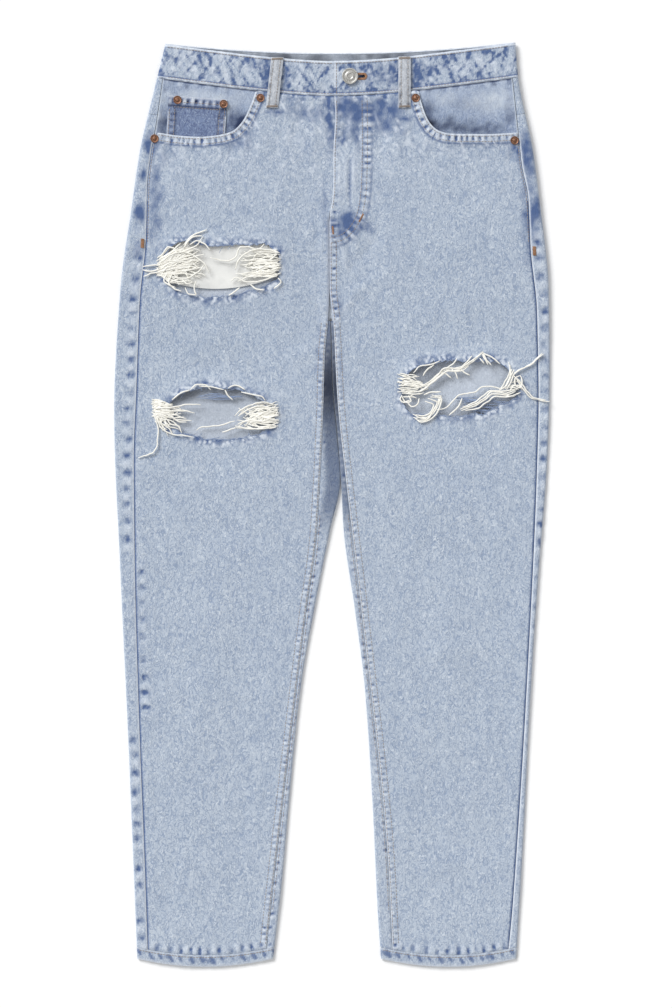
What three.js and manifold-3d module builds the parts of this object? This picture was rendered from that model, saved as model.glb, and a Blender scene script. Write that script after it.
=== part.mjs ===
// Ripped jeans, laid flat with the front up. Millimetres, +Z up. X runs across the
// jeans, Y from the hems to the waist. "Right" and "left" are the wearer's: the right
// leg is on the -X side. Every cloth piece is a thin wall of its own.
import * as THREE from 'three';
import { mergeVertices } from 'three/addons/utils/BufferGeometryUtils.js';
import Module from 'manifold-3d';

const wasm = await Module();
wasm.setup();

// ---- Driving dimensions -------------------------------------------------------

const CLOTH = 1.1; // wall of a single layer of denim
const PLY = 1.4; // one layer and the gap above it
const SEAM_GAP = 0.3; // between pieces that are sewn together
const FOLD_SLACK = 0.4; // more of it where the waist seam goes round a side fold
const HEM_WALL = 2.0; // the turned-up hem
const BAND_WALL = 2.2; // the doubled waistband
const LOOP_WALL = 1.4; // belt loops and back pockets, whose edges are turned in
const THREAD_WALL = 1.0; // a bundle of frayed threads

const LEG_HEIGHT = 4.8; // height of the laid leg
const HEM_HEIGHT = 5.0;
const HEM_DEPTH = 12;
const HEM_DIP = 8.5; // the middle of a hem hangs lower than its corners
const HIP_HEIGHT = 7.0; // between the pockets
const POCKET_HEIGHT = 8.4; // over the pocket bags
const HIP_LIFT = 1.7; // the hips lie on the back pockets and the back belt loops
const BAND_HEIGHT = 7.2;
const BAND_END_HEIGHT = 6.4; // the button end, under the buttonhole end
const CROTCH_Y = 685;
const CROTCH_STRIP_HEIGHT = 3.0; // the low strip of back panel inside the crotch

const WAIST_MIDDLE = -5; // X of the middle of the waist
const HALF_WAIST = 190;
const FRONT_SEAM_Y = 923.5; // lower edge of the waistband at centre front
const FRONT_TOP_Y = 960.5;
const BACK_SEAM_Y = 932; // the back stands higher at the waist than the front
const BACK_TOP_Y = 969;
const WAIST_RISE = 19; // the waist curves up from the middle to the sides
const BACK_RISE = 11.5;
const UNDERLAP = 12; // the right front runs on under the left front at the fly
const FLY_FOOT_Y = 804;

// ---- Outlines: [Y, X] points, joined by smooth curves -------------------------

const outerEdge = {
  right: through([
    [8, -215], [82, -218], [250, -225], [420, -233], [590, -239.6], [718, -233],
    [802, -221.5], [866, -212], [930, -197], [981, -185],
  ]),
  left: through([
    [8, 187], [145, 195], [294, 202.5], [421, 211], [548, 220.5], [632, 222.6],
    [718, 221.5], [802, 213], [866, 204.6], [943, 189], [981, 186],
  ]),
};
const innerEdge = {
  right: through([
    [9, -71], [82, -62.5], [209, -51], [294, -42], [378, -27.6], [463, -10.6],
    [516, 0.4], [559, -2.7], [618, -7.9], [CROTCH_Y, -10],
  ]),
  left: through([
    [9, 43.5], [60, 40], [166, 35], [294, 26.5], [378, 16], [463, 4], [516, 1],
    [559, -2.2], [618, -7.4], [CROTCH_Y, -9.5],
  ]),
};
const outseam = {
  right: through([
    [12, -203.5], [113, -207], [268, -213], [430, -217.5], [540, -218.5], [608, -216],
    [707, -212], [770, -205.6], [830, -204], [864, -200], [886, -196], [940, -188],
  ]),
  left: through([
    [12, 178], [71, 183.4], [300, 198], [537, 209], [601, 210.4], [696, 208.6],
    [760, 202], [816, 199.3], [850, 192.6], [874, 190], [940, 183],
  ]),
};
const frontMiddle = {
  right: through([
    [12, -79], [113, -67.8], [368, -37.1], [453, -25.5], [515, -21.4], [588, -18],
    [650, -16], [CROTCH_Y, -12.8], [720, -11.6], [789, -11.8], [825, -7.7], [864, -7.5],
    [903, -5.5], [921, -6.4],
  ]),
  left: through([
    [12, 56], [113, 50.9], [368, 23.9], [453, 13.8], [515, 6.5], [600, -2.5],
    [CROTCH_Y, -7.2], [720, -11.1], [789, -11.3], [825, -7.2], [864, -7], [903, -5],
    [921, -5.9],
  ]),
};
const backMiddle = through([[CROTCH_Y, -9.75], [780, -8], [860, -3], [932, 0]]);

// Pocket openings, from the outseam up to the waist: [X, Y] points.
const openingRight = [
  [-230, 885], [-196, 884.5], [-173, 881.3], [-149, 879.8], [-131, 881.3],
  [-115, 885.3], [-103.5, 896], [-95.4, 912], [-90.5, 925.4], [-86, 945],
];
const openingLeft = [
  [220, 885], [188.4, 884.3], [155.8, 882.6], [131, 882.6], [116, 883.2], [104, 886.5],
  [93.7, 896.8], [86.9, 913.7], [83.7, 926.4], [81, 945],
];

// Rips in the fronts: the upper and the lower edge, as [X, Y] points.
const rips = {
  right: [
    {
      top: [[-188.7, 752], [-167.9, 768.9], [-136.7, 764.3], [-80.6, 765.9], [-64.7, 755]],
      bottom: [[-188.7, 734], [-182, 725], [-159, 711.3], [-136.7, 709.8], [-89, 717.6], [-64.7, 729]],
    },
    {
      top: [[-190, 588], [-176.4, 601.6], [-160, 611], [-138.9, 614.8], [-97.9, 608.4], [-69, 588]],
      bottom: [[-190, 580], [-179, 571.8], [-158, 563.9], [-130.4, 558.6], [-84.8, 565], [-69, 576]],
    },
  ],
  left: [
    {
      top: [[65, 622], [83.7, 637.5], [108.1, 642.4], [164.3, 642.4], [177, 635], [191, 613]],
      bottom: [[65, 600], [76.3, 586.2], [117.7, 584.1], [151.6, 587.2], [178.7, 600], [191, 608]],
    },
  ],
};

// Frayed thread bundles lying over the rips: the upper and the lower edge.
const frays = {
  fray_thigh_outer: {
    side: 'right',
    top: [[-202, 752], [-180, 756], [-160, 771], [-143, 781]],
    bottom: [[-202, 729], [-180, 722], [-160, 722], [-143, 738]],
  },
  fray_thigh_inner: {
    side: 'right',
    top: [[-111, 757], [-90, 761], [-64, 757]],
    bottom: [[-111, 738], [-90, 727], [-64, 724]],
  },
  fray_knee_outer: {
    side: 'right',
    top: [[-206, 566], [-190, 588], [-170, 604], [-148, 607]],
    bottom: [[-206, 549], [-190, 566], [-170, 569], [-148, 578]],
  },
  fray_knee_inner: {
    side: 'right',
    top: [[-111, 603], [-90, 605], [-66, 597]],
    bottom: [[-111, 579], [-90, 568], [-66, 568]],
  },
  fray_left_inner: {
    side: 'left',
    top: [[62, 630], [84, 637], [106, 628]],
    bottom: [[62, 600], [84, 582], [106, 590]],
  },
  fray_left_middle: {
    side: 'left',
    top: [[112, 640], [132, 648], [152, 654]],
    bottom: [[112, 626], [132, 630], [152, 645]],
  },
  fray_left_outer: {
    side: 'left',
    top: [[122, 600], [155, 606], [196, 622]],
    bottom: [[122, 584], [155, 588], [196, 602]],
  },
};

const LOOP_WIDTH = 13;
const FRONT_LOOP_FOOT = 910.5;
const BACK_LOOP_FOOT = 912;
const loopPlaces = {
  belt_loop_front_right: { x: -69.2, lean: 5.8, front: true },
  belt_loop_front_left: { x: 68.4, lean: 0, front: true },
  belt_loop_back_right: { x: -128, lean: 2, front: false },
  belt_loop_back_centre: { x: 0, lean: 0, front: false },
  belt_loop_back_left: { x: 124, lean: -2, front: false },
};

const RIVET_RADIUS = 4.5;
const RIVET_HEIGHT = 1.6;
const rivetPlaces = {
  rivet_right_centre: [-84.3, 921],
  rivet_right_side: [-196.5, 878],
  rivet_coin_inner: [-123.3, 914.6],
  rivet_coin_outer: [-172.2, 919],
  rivet_left_centre: [80.2, 921],
  rivet_left_side: [185, 876],
};

const BUTTON_PLACE = [10.6, 944];
const BUTTON_RADIUS = 8.5;
const SHANK_RADIUS = 2;
const BUTTONHOLE_LENGTH = 19;
const BUTTONHOLE_WIDTH = 5.2;

// ---- Curves and solids --------------------------------------------------------

// A smooth curve through [t, value] points that never overshoots them.
function through(points) {
  const last = points.length - 1;
  const slopes = points.slice(1).map((p, i) => (p[1] - points[i][1]) / (p[0] - points[i][0]));
  const tangents = points.map((_, i) => {
    if (i === 0) return slopes[0];
    if (i === last) return slopes[last - 1];
    const [before, after] = [slopes[i - 1], slopes[i]];
    return before * after <= 0 ? 0 : (2 * before * after) / (before + after);
  });
  return (t) => {
    if (t <= points[0][0]) return points[0][1] + (t - points[0][0]) * tangents[0];
    if (t >= points[last][0]) return points[last][1] + (t - points[last][0]) * tangents[last];
    const i = points.findIndex((p, k) => k > 0 && t <= p[0]) - 1;
    const span = points[i + 1][0] - points[i][0];
    const s = (t - points[i][0]) / span;
    const flat = s * s * (3 - 2 * s);
    const start = s * (1 - s) * (1 - s) * span * tangents[i];
    const end = s * s * (s - 1) * span * tangents[i + 1];
    return points[i][1] * (1 - flat) + points[i + 1][1] * flat + start + end;
  };
}

function mix(a, b, t) {
  return a + (b - a) * t;
}

function ramp(t, from, to) {
  const s = Math.min(Math.max((t - from) / (to - from), 0), 1);
  return s * s * (3 - 2 * s);
}

function geometryFrom(positions) {
  let geometry = new THREE.BufferGeometry();
  geometry.setAttribute('position', new THREE.Float32BufferAttribute(positions, 3));
  geometry = mergeVertices(geometry, 1e-4);
  geometry.computeVertexNormals();
  return geometry;
}

function volumeOf(positions) {
  const [a, b, c] = [new THREE.Vector3(), new THREE.Vector3(), new THREE.Vector3()];
  let total = 0;
  for (let i = 0; i < positions.length; i += 9) {
    a.fromArray(positions, i);
    b.fromArray(positions, i + 3);
    c.fromArray(positions, i + 6);
    total += a.dot(b.cross(c)) / 6;
  }
  return total;
}

function turnedInsideOut(positions) {
  const turned = [];
  for (let i = 0; i < positions.length; i += 9) {
    turned.push(...positions.slice(i, i + 3));
    turned.push(...positions.slice(i + 6, i + 9));
    turned.push(...positions.slice(i + 3, i + 6));
  }
  return turned;
}

// A wall over a grid of cells. point(row, column, face) gives its points, with face 0
// outside and 1 inside. Cells that keep() refuses are left out, and closed joins the
// last column to the first.
function wall(rows, columns, point, keep = () => true, closed = false) {
  const positions = [];
  const quad = (a, b, c, d) => positions.push(...a, ...b, ...c, ...a, ...c, ...d);
  const wrap = (j) => (closed ? (j + columns) % columns : j);
  const has = (i, j) => {
    const inside = i >= 0 && i < rows && (closed || (j >= 0 && j < columns));
    return inside && keep(i, wrap(j));
  };
  for (let i = 0; i < rows; i++) {
    for (let j = 0; j < columns; j++) {
      if (!has(i, j)) continue;
      const corners = [[i, j], [i, wrap(j + 1)], [i + 1, wrap(j + 1)], [i + 1, j]];
      const outside = corners.map(([r, c]) => point(r, c, 0));
      const inside = corners.map(([r, c]) => point(r, c, 1));
      quad(...outside);
      quad(inside[3], inside[2], inside[1], inside[0]);
      const neighbours = [[i - 1, j], [i, j + 1], [i + 1, j], [i, j - 1]];
      neighbours.forEach(([r, c], k) => {
        const next = (k + 1) % 4;
        if (!has(r, c)) quad(outside[next], outside[k], inside[k], inside[next]);
      });
    }
  }
  return geometryFrom(volumeOf(positions) < 0 ? turnedInsideOut(positions) : positions);
}

// The place of (u, v) on a flat piece whose sides are X curves of Y and whose ends are
// Y curves of X.
function placeOn(piece, u, v) {
  let x = mix(piece.left(500), piece.right(500), u);
  let y = 0;
  for (let pass = 0; pass < 8; pass++) {
    y = mix(piece.low(x), piece.high(x), v);
    x = mix(piece.left(y), piece.right(y), u);
  }
  return [x, y];
}

// A flat piece as a wall under the surface height(x, y), depth below it.
function flatPiece(piece, rows, columns, height, depth, thick) {
  return wall(rows, columns, (i, j, face) => {
    const [x, y] = placeOn(piece, j / columns, i / rows);
    return [x, y, height(x, y) - depth(x, y) - face * thick];
  });
}

function asManifold(geometry) {
  const plain = geometry.clone();
  plain.deleteAttribute('normal');
  plain.deleteAttribute('uv');
  const merged = mergeVertices(plain, 1e-4);
  const vertProperties = new Float32Array(merged.attributes.position.array);
  const triVerts = new Uint32Array(merged.index.array);
  return new wasm.Manifold(new wasm.Mesh({ numProp: 3, vertProperties, triVerts }));
}

function asGeometry(solid) {
  const { vertProperties, triVerts } = solid.getMesh();
  const geometry = new THREE.BufferGeometry();
  geometry.setAttribute('position', new THREE.Float32BufferAttribute(vertProperties, 3));
  geometry.setIndex(new THREE.Uint32BufferAttribute(triVerts, 1));
  geometry.computeVertexNormals();
  return geometry;
}

function joined(first, second) {
  return asGeometry(asManifold(first).add(asManifold(second)));
}

// A geometry with prisms cut through it, each from its [X, Y] outline.
function cutThrough(geometry, outlines, from = -5, to = 20) {
  let solid = asManifold(geometry);
  for (const outline of outlines) {
    const shape = new THREE.Shape(outline.map(([x, y]) => new THREE.Vector2(x, y)));
    const prism = new THREE.ExtrudeGeometry(shape, { depth: to - from, bevelEnabled: false });
    prism.translate(0, 0, from);
    solid = solid.subtract(asManifold(prism));
  }
  return asGeometry(solid);
}

// The outline between an upper and a lower edge, which meet at neither end.
function outlineBetween({ top, bottom }, steps = 9) {
  const [first, last] = [top[0][0], top.at(-1)[0]];
  const xs = Array.from({ length: steps + 1 }, (_, i) => mix(first, last, i / steps));
  const [upper, lower] = [through(top), through(bottom)];
  return [...xs.map((x) => [x, lower(x)]), ...xs.reverse().map((x) => [x, upper(x)])];
}

// ---- Surfaces of the laid jeans -----------------------------------------------

function underside(y) {
  return HIP_LIFT * ramp(y, 630, CROTCH_Y);
}

// Height of the front, without the fly.
function topOf(x, y) {
  const hip = ramp(y, 640, 790);
  const overPocket = ramp(Math.abs(x - WAIST_MIDDLE), 30, 60);
  return LEG_HEIGHT + hip * mix(HIP_HEIGHT - LEG_HEIGHT, POCKET_HEIGHT - LEG_HEIGHT, overPocket);
}

// The left front lies over the right front at the fly.
function topOfLeft(x, y) {
  return topOf(x, y) + PLY * ramp(y, FLY_FOOT_Y - 45, FLY_FOOT_Y - 9) * (1 - ramp(x, 22, 48));
}

// The waist rises from its middle to its sides: along a hyperbola at the front, whose
// bend is BEND of the half width, and along a parabola at the back.
const BEND = 0.35;

function frontCurve(x, middle) {
  const t = (x - WAIST_MIDDLE) / HALF_WAIST;
  const rise = (Math.hypot(t, BEND) - BEND) / (Math.hypot(1, BEND) - BEND);
  return middle + WAIST_RISE * rise;
}

function backCurve(x, middle) {
  return middle + BACK_RISE * ((x - WAIST_MIDDLE) / HALF_WAIST) ** 2;
}

const frontSeam = (x) => frontCurve(x, FRONT_SEAM_Y);
const frontTop = (x) => frontCurve(x, FRONT_TOP_Y);
const backSeam = (x) => backCurve(x, BACK_SEAM_Y);
const backTop = (x) => backCurve(x, BACK_TOP_Y);
const yokeSeam = (x) => backSeam(x) - 66 + 26 * ramp(Math.abs(x - WAIST_MIDDLE), 0, HALF_WAIST);

function hemEdge(side, x) {
  const edges = [outerEdge[side](HEM_DIP), innerEdge[side](HEM_DIP)];
  const middle = (edges[0] + edges[1]) / 2;
  const half = Math.abs(edges[0] - edges[1]) / 2;
  return HEM_DIP * ((x - middle) / half) ** 2;
}

// ---- Fronts -------------------------------------------------------------------

const ROWS_BELOW = 17; // between the hem and the crotch, for fronts and backs
const ROWS_ABOVE = 7;
const FRONT_COLUMNS = 8;

// X of the outseam, kept on the flat of the top, just inside the outer fold.
function seamOf(side, y) {
  const way = side === 'right' ? 1 : -1;
  const fold = outerEdge[side](y) + way * ((topOf(outerEdge[side](y), y) - underside(y)) / 2 + 1.5);
  return Math.max(outseam[side](y) * way, fold * way) * way;
}

// Y of a row that starts at the hem, for a piece that ends at high.
function rowHeight(side, x, row, high, rowsAbove) {
  const low = hemEdge(side, x) + HEM_DEPTH + SEAM_GAP;
  if (row <= ROWS_BELOW) return mix(low, CROTCH_Y, row / ROWS_BELOW);
  return mix(CROTCH_Y, high, (row - ROWS_BELOW) / rowsAbove);
}

function front(side, opening) {
  const height = side === 'right' ? topOf : topOfLeft;
  const point = (i, j, face) => {
    let [x, y] = [0, 500];
    for (let pass = 0; pass < 8; pass++) {
      x = mix(seamOf(side, y), frontMiddle[side](y), j / FRONT_COLUMNS);
      y = rowHeight(side, x, i, frontSeam(x) - SEAM_GAP, ROWS_ABOVE);
    }
    return [x, y, height(x, y) - face * CLOTH];
  };
  const whole = wall(ROWS_BELOW + ROWS_ABOVE, FRONT_COLUMNS, point);
  const holes = rips[side].map((rip) => outlineBetween(rip));
  const corner = [...opening, [opening.at(-1)[0], 990], [opening[0][0], 990]];
  return cutThrough(whole, [...holes, corner]);
}

// The right front's underlap, joined to it behind the fly.
function underlap() {
  const piece = {
    left: (y) => frontMiddle.right(y) - 4,
    right: (y) => frontMiddle.right(y) + UNDERLAP,
    low: () => FLY_FOOT_Y,
    high: (x) => frontSeam(x) - SEAM_GAP,
  };
  return flatPiece(piece, 3, 2, topOf, () => 0, CLOTH);
}

// ---- Backs and yokes: round the side folds and onto the front -----------------

const FOLD_STEPS = 4;
const STRIP_STEPS = 2;
const BACK_STEPS = 8;

// The section of a back at height y, as columns of { x, z } for one face. It runs from
// the outseam on top, round the outer fold, under the leg, round the inner fold and up
// to the inseam. Above the crotch it stops at the middle of the back.
function backColumns(side, y, face) {
  const way = side === 'right' ? 1 : -1; // +1 where inward is +X
  const offset = face * CLOTH;
  const bottom = underside(y) + offset;
  const top = (x) => topOf(x, y) - offset;
  const outer = outerEdge[side](y);
  const outerRadius = (topOf(outer, y) - underside(y)) / 2;
  const outerStart = outer + way * outerRadius;
  const seam = seamOf(side, y) - way * SEAM_GAP;
  const columns = [];
  for (let i = 0; i < STRIP_STEPS; i++) {
    const x = mix(seam, outerStart, i / STRIP_STEPS);
    columns.push({ x, z: top(x), under: 0 });
  }
  for (let i = 0; i <= FOLD_STEPS; i++) {
    const angle = (Math.PI * i) / FOLD_STEPS;
    const thin = outerRadius - offset;
    const x = outerStart - way * thin * Math.sin(angle);
    const z = underside(y) + outerRadius + thin * Math.cos(angle);
    columns.push({ x, z, under: i / FOLD_STEPS });
  }
  const below = y <= CROTCH_Y;
  const innerRadius = crotchHeight(y) / 2;
  const inner = innerEdge[side](y);
  const innerStart = below ? inner - way * innerRadius : backMiddle(y) - (way * SEAM_GAP) / 2;
  for (let i = 1; i <= BACK_STEPS; i++) {
    columns.push({ x: mix(outerStart, innerStart, i / BACK_STEPS), z: bottom, under: 1 });
  }
  if (!below) return columns;
  for (let i = 1; i <= FOLD_STEPS; i++) {
    const angle = (Math.PI * i) / FOLD_STEPS;
    const thin = innerRadius - offset;
    const x = innerStart + way * thin * Math.sin(angle);
    columns.push({ x, z: underside(y) + innerRadius - thin * Math.cos(angle), under: 0 });
  }
  const inseam = frontMiddle[side](y) + way * SEAM_GAP;
  for (let i = 1; i <= STRIP_STEPS; i++) {
    const t = i / STRIP_STEPS;
    const x = mix(innerStart, inseam, t);
    const z = mix(underside(y) + crotchHeight(y), topOf(x, y), t) - offset;
    columns.push({ x, z, under: 0 });
  }
  return columns;
}

// The inner fold is full height down the leg and low beside the crotch.
function crotchHeight(y) {
  return mix(LEG_HEIGHT, CROTCH_STRIP_HEIGHT, ramp(y, 470, 540));
}

const BACK_ROWS_ABOVE = 6; // up to the yoke
const UPPER_COLUMNS = STRIP_STEPS + FOLD_STEPS + BACK_STEPS;
const LOWER_COLUMNS = UPPER_COLUMNS + FOLD_STEPS + STRIP_STEPS;

function back(side) {
  const point = (i, j, face) => {
    let y = rowHeight(side, 0, i, 880, BACK_ROWS_ABOVE);
    let column = backColumns(side, y, face)[j];
    for (let pass = 0; pass < 5; pass++) {
      y = rowHeight(side, column.x, i, yokeSeam(column.x) - SEAM_GAP, BACK_ROWS_ABOVE);
      column = backColumns(side, y, face)[j];
    }
    return [column.x, y, column.z];
  };
  const keep = (i, j) => i < ROWS_BELOW || j < UPPER_COLUMNS;
  return wall(ROWS_BELOW + BACK_ROWS_ABOVE, LOWER_COLUMNS, point, keep);
}

function yoke(side) {
  return wall(1, UPPER_COLUMNS, (i, j, face) => {
    let y = 900;
    let column = backColumns(side, y, face)[j];
    for (let pass = 0; pass < 5; pass++) {
      const high = mix(frontSeam(column.x), backSeam(column.x), column.under);
      const slack = column.under > 0 && column.under < 1 ? FOLD_SLACK : 0;
      y = i === 0 ? yokeSeam(column.x) : high - SEAM_GAP - slack;
      column = backColumns(side, y, face)[j];
    }
    return [column.x, y, column.z];
  });
}

// ---- Hems: closed rings round the foot of each leg ----------------------------

function hem(side) {
  const flat = 7;
  const count = 2 * (flat + FOLD_STEPS);
  const radius = HEM_HEIGHT / 2;
  return wall(1, count, (i, j, face) => {
    const level = HEM_DIP + i * HEM_DEPTH;
    const ends = [outerEdge[side](level), innerEdge[side](level)].sort((a, b) => a - b);
    const [first, last] = [ends[0] + radius, ends[1] - radius];
    const thin = radius - face * HEM_WALL;
    const half = j % (flat + FOLD_STEPS);
    const upper = j < flat + FOLD_STEPS;
    const [from, to] = upper ? [first, last] : [last, first];
    const sign = upper ? 1 : -1;
    let x = mix(from, to, Math.min(half / flat, 1));
    const angle = (Math.PI * Math.max(half - flat, 0)) / FOLD_STEPS;
    const y = hemEdge(side, x) + i * HEM_DEPTH;
    x += sign * thin * Math.sin(angle);
    return [x, y, radius + sign * thin * Math.cos(angle)];
  }, undefined, true);
}

// ---- Waistband: one strip round the waist, its ends lapped at the front -------

const BUTTON_END = 24; // X where the under end stops
const BUTTONHOLE_END = -6.6; // X where the upper end stops

// Height of the front half of the band at x, for the half that ends at the middle.
function bandHeight(x, half) {
  if (half === 'right') return mix(BAND_HEIGHT, BAND_END_HEIGHT, ramp(x, -45, -14));
  return mix(BAND_END_HEIGHT + SEAM_GAP + BAND_WALL, BAND_HEIGHT, ramp(x, 28, 60));
}

function bandColumns(v, face) {
  const offset = face * BAND_WALL;
  const level = mix(943, 980, v);
  const radius = (BAND_HEIGHT - HIP_LIFT) / 2;
  const [right, left] = [outerEdge.right(level) + radius, outerEdge.left(level) - radius];
  const columns = [];
  const frontSteps = 9;
  const backSteps = 14;
  const at = (x, z, onFront) => {
    const low = onFront ? frontSeam(x) : backSeam(x);
    const high = onFront ? frontTop(x) : backTop(x);
    columns.push([x, mix(low, high, v), z]);
  };
  const fold = (x, way, turn) => {
    for (let i = 1; i < FOLD_STEPS; i++) {
      const angle = (Math.PI * i) / FOLD_STEPS;
      const thin = radius - offset;
      const t = i / FOLD_STEPS;
      const low = mix(frontSeam(x), backSeam(x), turn > 0 ? t : 1 - t);
      const high = mix(frontTop(x), backTop(x), turn > 0 ? t : 1 - t);
      const z = HIP_LIFT + radius + turn * thin * Math.cos(angle);
      columns.push([x - way * thin * Math.sin(angle), mix(low, high, v), z]);
    }
  };
  for (let i = 0; i <= frontSteps; i++) {
    const x = mix(BUTTON_END, right, i / frontSteps);
    at(x, bandHeight(x, 'right') - offset, true);
  }
  fold(right, 1, 1);
  for (let i = 0; i <= backSteps; i++) {
    at(mix(right, left, i / backSteps), HIP_LIFT + offset, false);
  }
  fold(left, -1, -1);
  for (let i = 0; i <= frontSteps; i++) {
    const x = mix(left, BUTTONHOLE_END, i / frontSteps);
    at(x, bandHeight(x, 'left') - offset, true);
  }
  return columns;
}

function waistband() {
  const rows = 1;
  const grid = [0, 1].map((face) => [0, 1].map((v) => bandColumns(v, face)));
  const columns = grid[0][0].length - 1;
  const strip = wall(rows, columns, (i, j, face) => grid[face][i][j]);
  const [x, y] = BUTTON_PLACE;
  const half = BUTTONHOLE_WIDTH / 2;
  const start = x - SHANK_RADIUS - 1;
  const end = start + BUTTONHOLE_LENGTH;
  const slot = [[start, y - half], [end, y - half], [end, y + half], [start, y + half]];
  return cutThrough(strip, [slot], BAND_END_HEIGHT + SEAM_GAP / 2, 20);
}

// ---- Pockets ------------------------------------------------------------------

const PLIES_TO_FACING = 2; // front and coin pocket lie over the facing
const PLIES_TO_BAG = 3;
const FACING_TOP_RISE = 1.2; // it comes up towards the waist seam

function facingDepth(x, y) {
  return PLIES_TO_FACING * PLY - FACING_TOP_RISE * ramp(y, 892, 930);
}

function pocketPiece(side, inner, low) {
  const outside = (y) => seamOf(side, y) + (side === 'right' ? SEAM_GAP : -SEAM_GAP);
  const inside = () => inner;
  return {
    left: side === 'right' ? outside : inside,
    right: side === 'right' ? inside : outside,
    low,
    high: (x) => frontSeam(x) - SEAM_GAP,
  };
}

function pocketFacing(side) {
  const inner = side === 'right' ? -72 : 66;
  return flatPiece(pocketPiece(side, inner, () => 812), 6, 7, topOf, facingDepth, CLOTH);
}

function pocketBag(side) {
  const middle = side === 'right' ? -132 : 126;
  const low = (x) => 719 + 15 * (Math.abs(x - middle) / 70) ** 2;
  const depth = (x, y) => mix(PLY, PLIES_TO_BAG * PLY, ramp(y, 764, 796));
  const inner = side === 'right' ? -66 : 57;
  return flatPiece(pocketPiece(side, inner, low), 10, 7, topOf, depth, CLOTH);
}

function coinPocket() {
  const piece = {
    left: (y) => -181.8 + (y - 919) * 0.06,
    right: (y) => -119.8 + (y - 919) * 0.06,
    low: () => 846,
    high: (x) => 921.5 - (x + 150) * 0.07,
  };
  return flatPiece(piece, 5, 4, topOf, (x, y) => facingDepth(x, y) - PLY, CLOTH);
}

// A back pocket: a square top and a shallow point, under the back panel.
function backPocket(side) {
  const way = side === 'right' ? -1 : 1;
  const middle = WAIST_MIDDLE + way * 98;
  const [halfTop, halfFoot] = [72, 62];
  const half = (y) => mix(halfFoot, halfTop, ramp(y, 735, 860));
  const piece = {
    left: (y) => middle - half(y),
    right: (y) => middle + half(y),
    low: (x) => 722 + 16 * (Math.abs(x - middle) / halfFoot),
    high: (x) => 862 + 6 * (Math.abs(x - WAIST_MIDDLE) / HALF_WAIST),
  };
  return flatPiece(piece, 4, 4, () => LOOP_WALL, () => 0, LOOP_WALL);
}

// ---- Fly, under the left front ------------------------------------------------

function flyPiece(left, right, low) {
  return { left: () => left, right: () => right, low: () => low, high: (x) => frontSeam(x) - SEAM_GAP };
}

const flyZip = () => flatPiece(flyPiece(-10, 14, FLY_FOOT_Y), 3, 2, topOf, () => PLY, CLOTH);
const flyShield = () => flatPiece(flyPiece(-9, 30, 796), 3, 3, topOf, () => 2 * PLY, CLOTH);

// ---- Belt loops ---------------------------------------------------------------

const LOOP_ARCH = 1.2; // a front loop stands off the band in the middle

function beltLoop({ x, lean, front: onFront }) {
  const half = LOOP_WIDTH / 2;
  const top = onFront ? frontTop(x) : backTop(x);
  const foot = onFront ? FRONT_LOOP_FOOT : BACK_LOOP_FOOT;
  const middle = (y) => x + lean * ((y - foot) / (top - foot) - 0.5);
  const piece = {
    left: (y) => middle(y) - half,
    right: (y) => middle(y) + half,
    low: () => foot,
    high: () => top,
  };
  if (!onFront) return flatPiece(piece, 4, 2, () => LOOP_WALL, () => 0, LOOP_WALL);
  const bed = Math.max(topOf(x, 930), topOf(x + half, 930), topOf(x - half, 930), BAND_HEIGHT + 0.2);
  const height = (_, y) => {
    const t = (y - foot) / (top - foot);
    return bed + SEAM_GAP + LOOP_WALL + LOOP_ARCH * Math.sin(Math.PI * t);
  };
  return flatPiece(piece, 6, 2, height, () => 0, LOOP_WALL);
}

// ---- Frayed threads -----------------------------------------------------------

function fray({ side, top, bottom }) {
  const [first, last] = [top[0][0], top.at(-1)[0]];
  const piece = {
    left: () => first,
    right: () => last,
    low: through(bottom),
    high: through(top),
  };
  const height = side === 'right' ? topOf : topOfLeft;
  return flatPiece(piece, 3, 4, height, () => -SEAM_GAP - THREAD_WALL, THREAD_WALL);
}

// ---- Rivets and button --------------------------------------------------------

function turned(profile, segments) {
  const geometry = new THREE.LatheGeometry(profile.map(([r, z]) => new THREE.Vector2(r, z)), segments);
  geometry.rotateX(Math.PI / 2);
  return geometry;
}

function rivet([x, y]) {
  const rim = RIVET_RADIUS;
  const profile = [
    [0, 0], [rim, 0], [rim, 0.7], [rim * 0.7, RIVET_HEIGHT], [rim * 0.45, 1.1], [0, 1.1],
  ];
  const geometry = turned(profile, 12);
  geometry.translate(x, y, topOf(x, y) + SEAM_GAP);
  return geometry;
}

// The shank comes up from the under end of the band, through the buttonhole.
function button() {
  const start = BAND_END_HEIGHT + SEAM_GAP;
  const cap = start + BAND_WALL + 2 * SEAM_GAP;
  const rim = BUTTON_RADIUS;
  const profile = [
    [0, start], [SHANK_RADIUS, start], [SHANK_RADIUS, cap], [rim - 0.8, cap], [rim, cap + 0.9],
    [rim - 0.5, cap + 2.2], [rim - 2, cap + 2.4], [rim - 3, cap + 1.6], [0, cap + 1.7],
  ];
  const geometry = turned(profile, 24);
  geometry.translate(...BUTTON_PLACE, 0);
  return geometry;
}

// ---- The group ----------------------------------------------------------------

const cloth = (color) => new THREE.MeshStandardMaterial({ color, roughness: 0.9, metalness: 0 });
const metal = (color) => new THREE.MeshStandardMaterial({ color, roughness: 0.35, metalness: 1 });
const washedDenim = cloth('#8fa9c4');
const darkDenim = cloth('#5f7b9c');
const cotton = cloth('#e9e6df');
const thread = cloth('#e6e2d6');
const zipTape = cloth('#6b7a90');
const copper = metal('#a9714b');
const silver = metal('#b9bcc0');

const group = new THREE.Group();

function add(name, geometry, material) {
  const mesh = new THREE.Mesh(geometry, material);
  mesh.name = name;
  group.add(mesh);
}

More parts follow.
